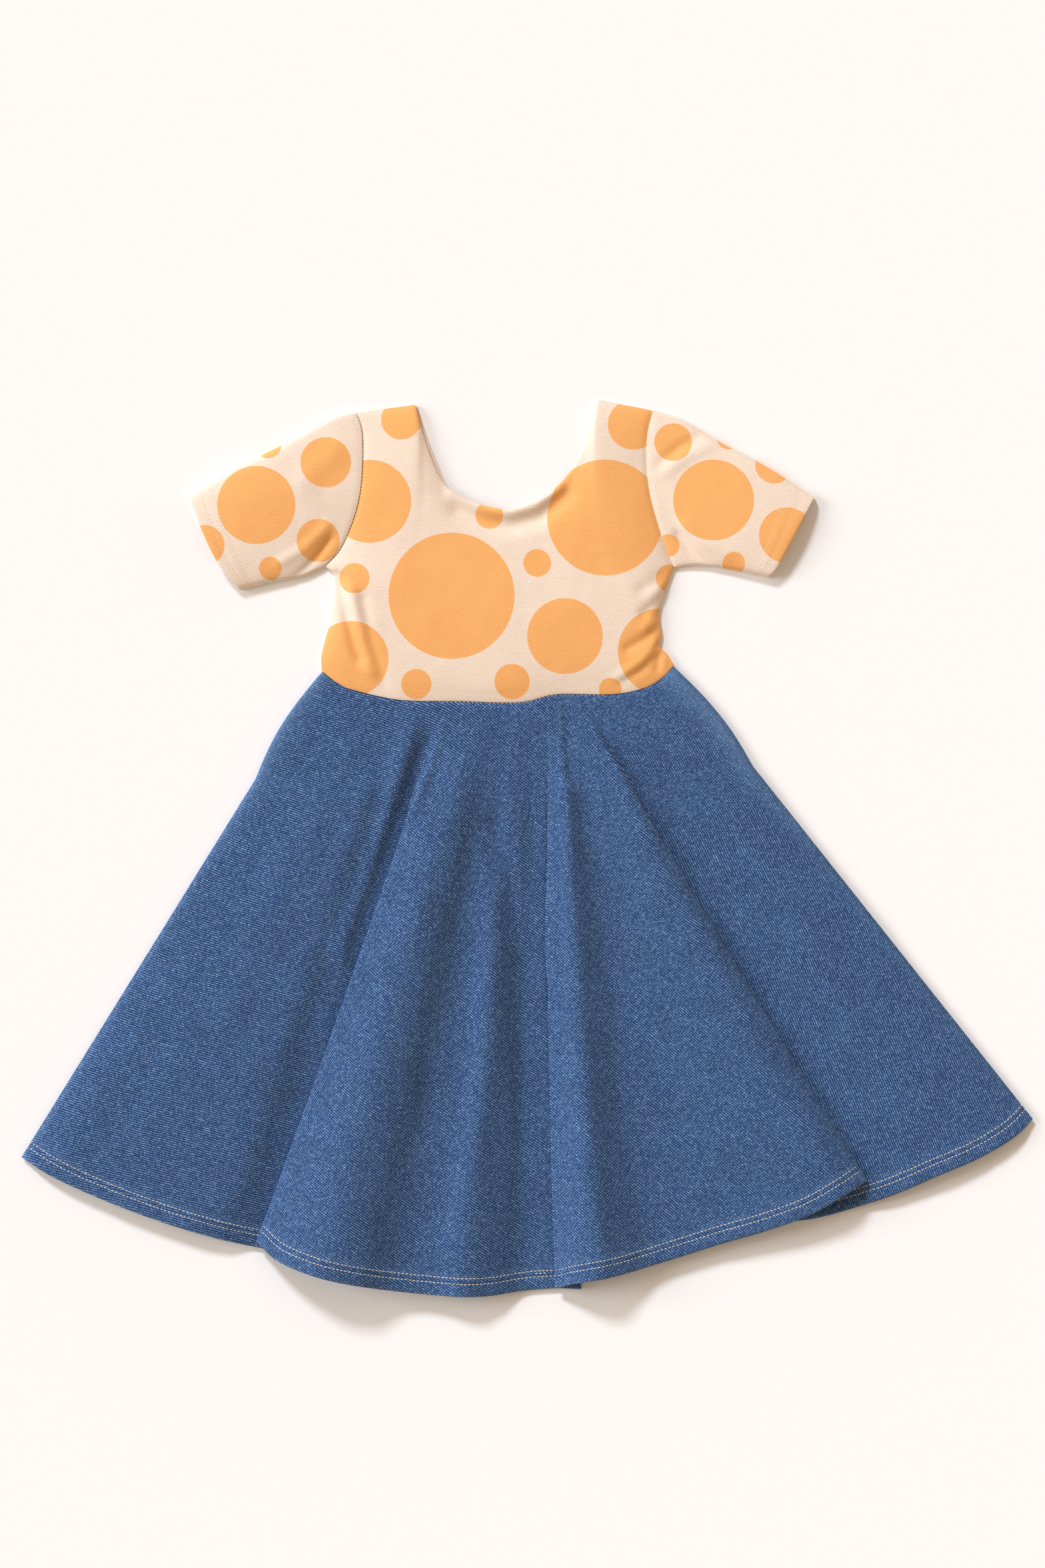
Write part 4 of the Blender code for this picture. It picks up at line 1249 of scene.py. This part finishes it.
cuff_thread = thread_material("cuff_thread", CUFF_THREAD)
for side, outline in SLEEVE_OUTLINES.items():
    cuff_paths = [cuff_row(outline, distance) for distance in CUFF_ROWS]
    sew("cuff_stitches_" + side, cuff_paths, CUFF_STITCH, cuff_thread)

armhole_path = []
for step in range(61):
    share = 0.03 + 0.94 * step / 60
    x, y = beside(LEFT_ARMHOLE, share, -0.5)
    armhole_path.append((x, y, armhole_lift(share) + JERSEY_WALL / 2 - 0.15))
armhole_thread = thread_material("armhole_thread", ARMHOLE_THREAD)
sew("armhole_stitches_left", [armhole_path], ARMHOLE_STITCH, armhole_thread)

waist_path = []
for step in range(81):
    x, y = waist_point(WAIST_THREAD_START + WAIST_THREAD_LENGTH * step / 80)
    waist_path.append((x, y - WAIST_THREAD_DROP, DENIM_FRONT_LIFT + waist_bump(x) - 0.3))
waist_thread = thread_material("waist_thread", WAIST_THREAD)
sew("waist_stitches", [waist_path], WAIST_STITCH, waist_thread)


# Surface and light
# The dress lies on a plain pale surface. Daylight comes softly from beyond its neck, a little from the left,
# and a broader light from the left models the skirt's folds.
FLOOR_COLOUR = (0.950, 0.950, 0.955, 1.0)
FLOOR_HALF = 4.0
FLOOR_DROP = 0.0004
LIGHTS = (
    # name, direction, strength, colour, angle in degrees
    ("window_light", (0.40, -0.72, -0.56), 2.15, (0.93, 1.0, 1.12), 11.0),
    ("side_light", (0.90, -0.15, -0.40), 1.7, (0.94, 1.0, 1.10), 30.0),
)
SKY_COLOUR = (1.09, 0.86, 0.63)
SKY_STRENGTH = 0.475

floor_mesh = bpy.data.meshes.new("floor")
corners = ((-1, -1), (1, -1), (1, 1), (-1, 1))
floor_points = [(x * FLOOR_HALF, y * FLOOR_HALF, -FLOOR_DROP) for x, y in corners]
floor_mesh.from_pydata(floor_points, [], [(0, 1, 2, 3)])
floor = bpy.data.objects.new("floor", floor_mesh)
bpy.context.scene.collection.objects.link(floor)
floor_material = bpy.data.materials.new("pale_surface")
floor_material.use_nodes = True
floor_shader = floor_material.node_tree.nodes["Principled BSDF"]
floor_shader.inputs["Base Color"].default_value = FLOOR_COLOUR
floor_shader.inputs["Roughness"].default_value = 0.9
floor_shader.inputs["Specular IOR Level"].default_value = 0.1
floor.data.materials.append(floor_material)

for name, direction, strength, colour, angle in LIGHTS:
    sun_data = bpy.data.lights.new(name, "SUN")
    sun_data.energy = strength
    sun_data.color = colour
    sun_data.angle = math.radians(angle)
    sun = bpy.data.objects.new(name, sun_data)
    sun.rotation_euler = Vector(direction).to_track_quat("-Z", "Y").to_euler()
    bpy.context.scene.collection.objects.link(sun)

world = bpy.data.worlds.new("soft_room")
world.use_nodes = True
background = world.node_tree.nodes["Background"]
background.inputs["Color"].default_value = SKY_COLOUR + (1.0,)
background.inputs["Strength"].default_value = SKY_STRENGTH
bpy.context.scene.world = world
bpy.context.scene.view_settings.view_transform = "Standard"
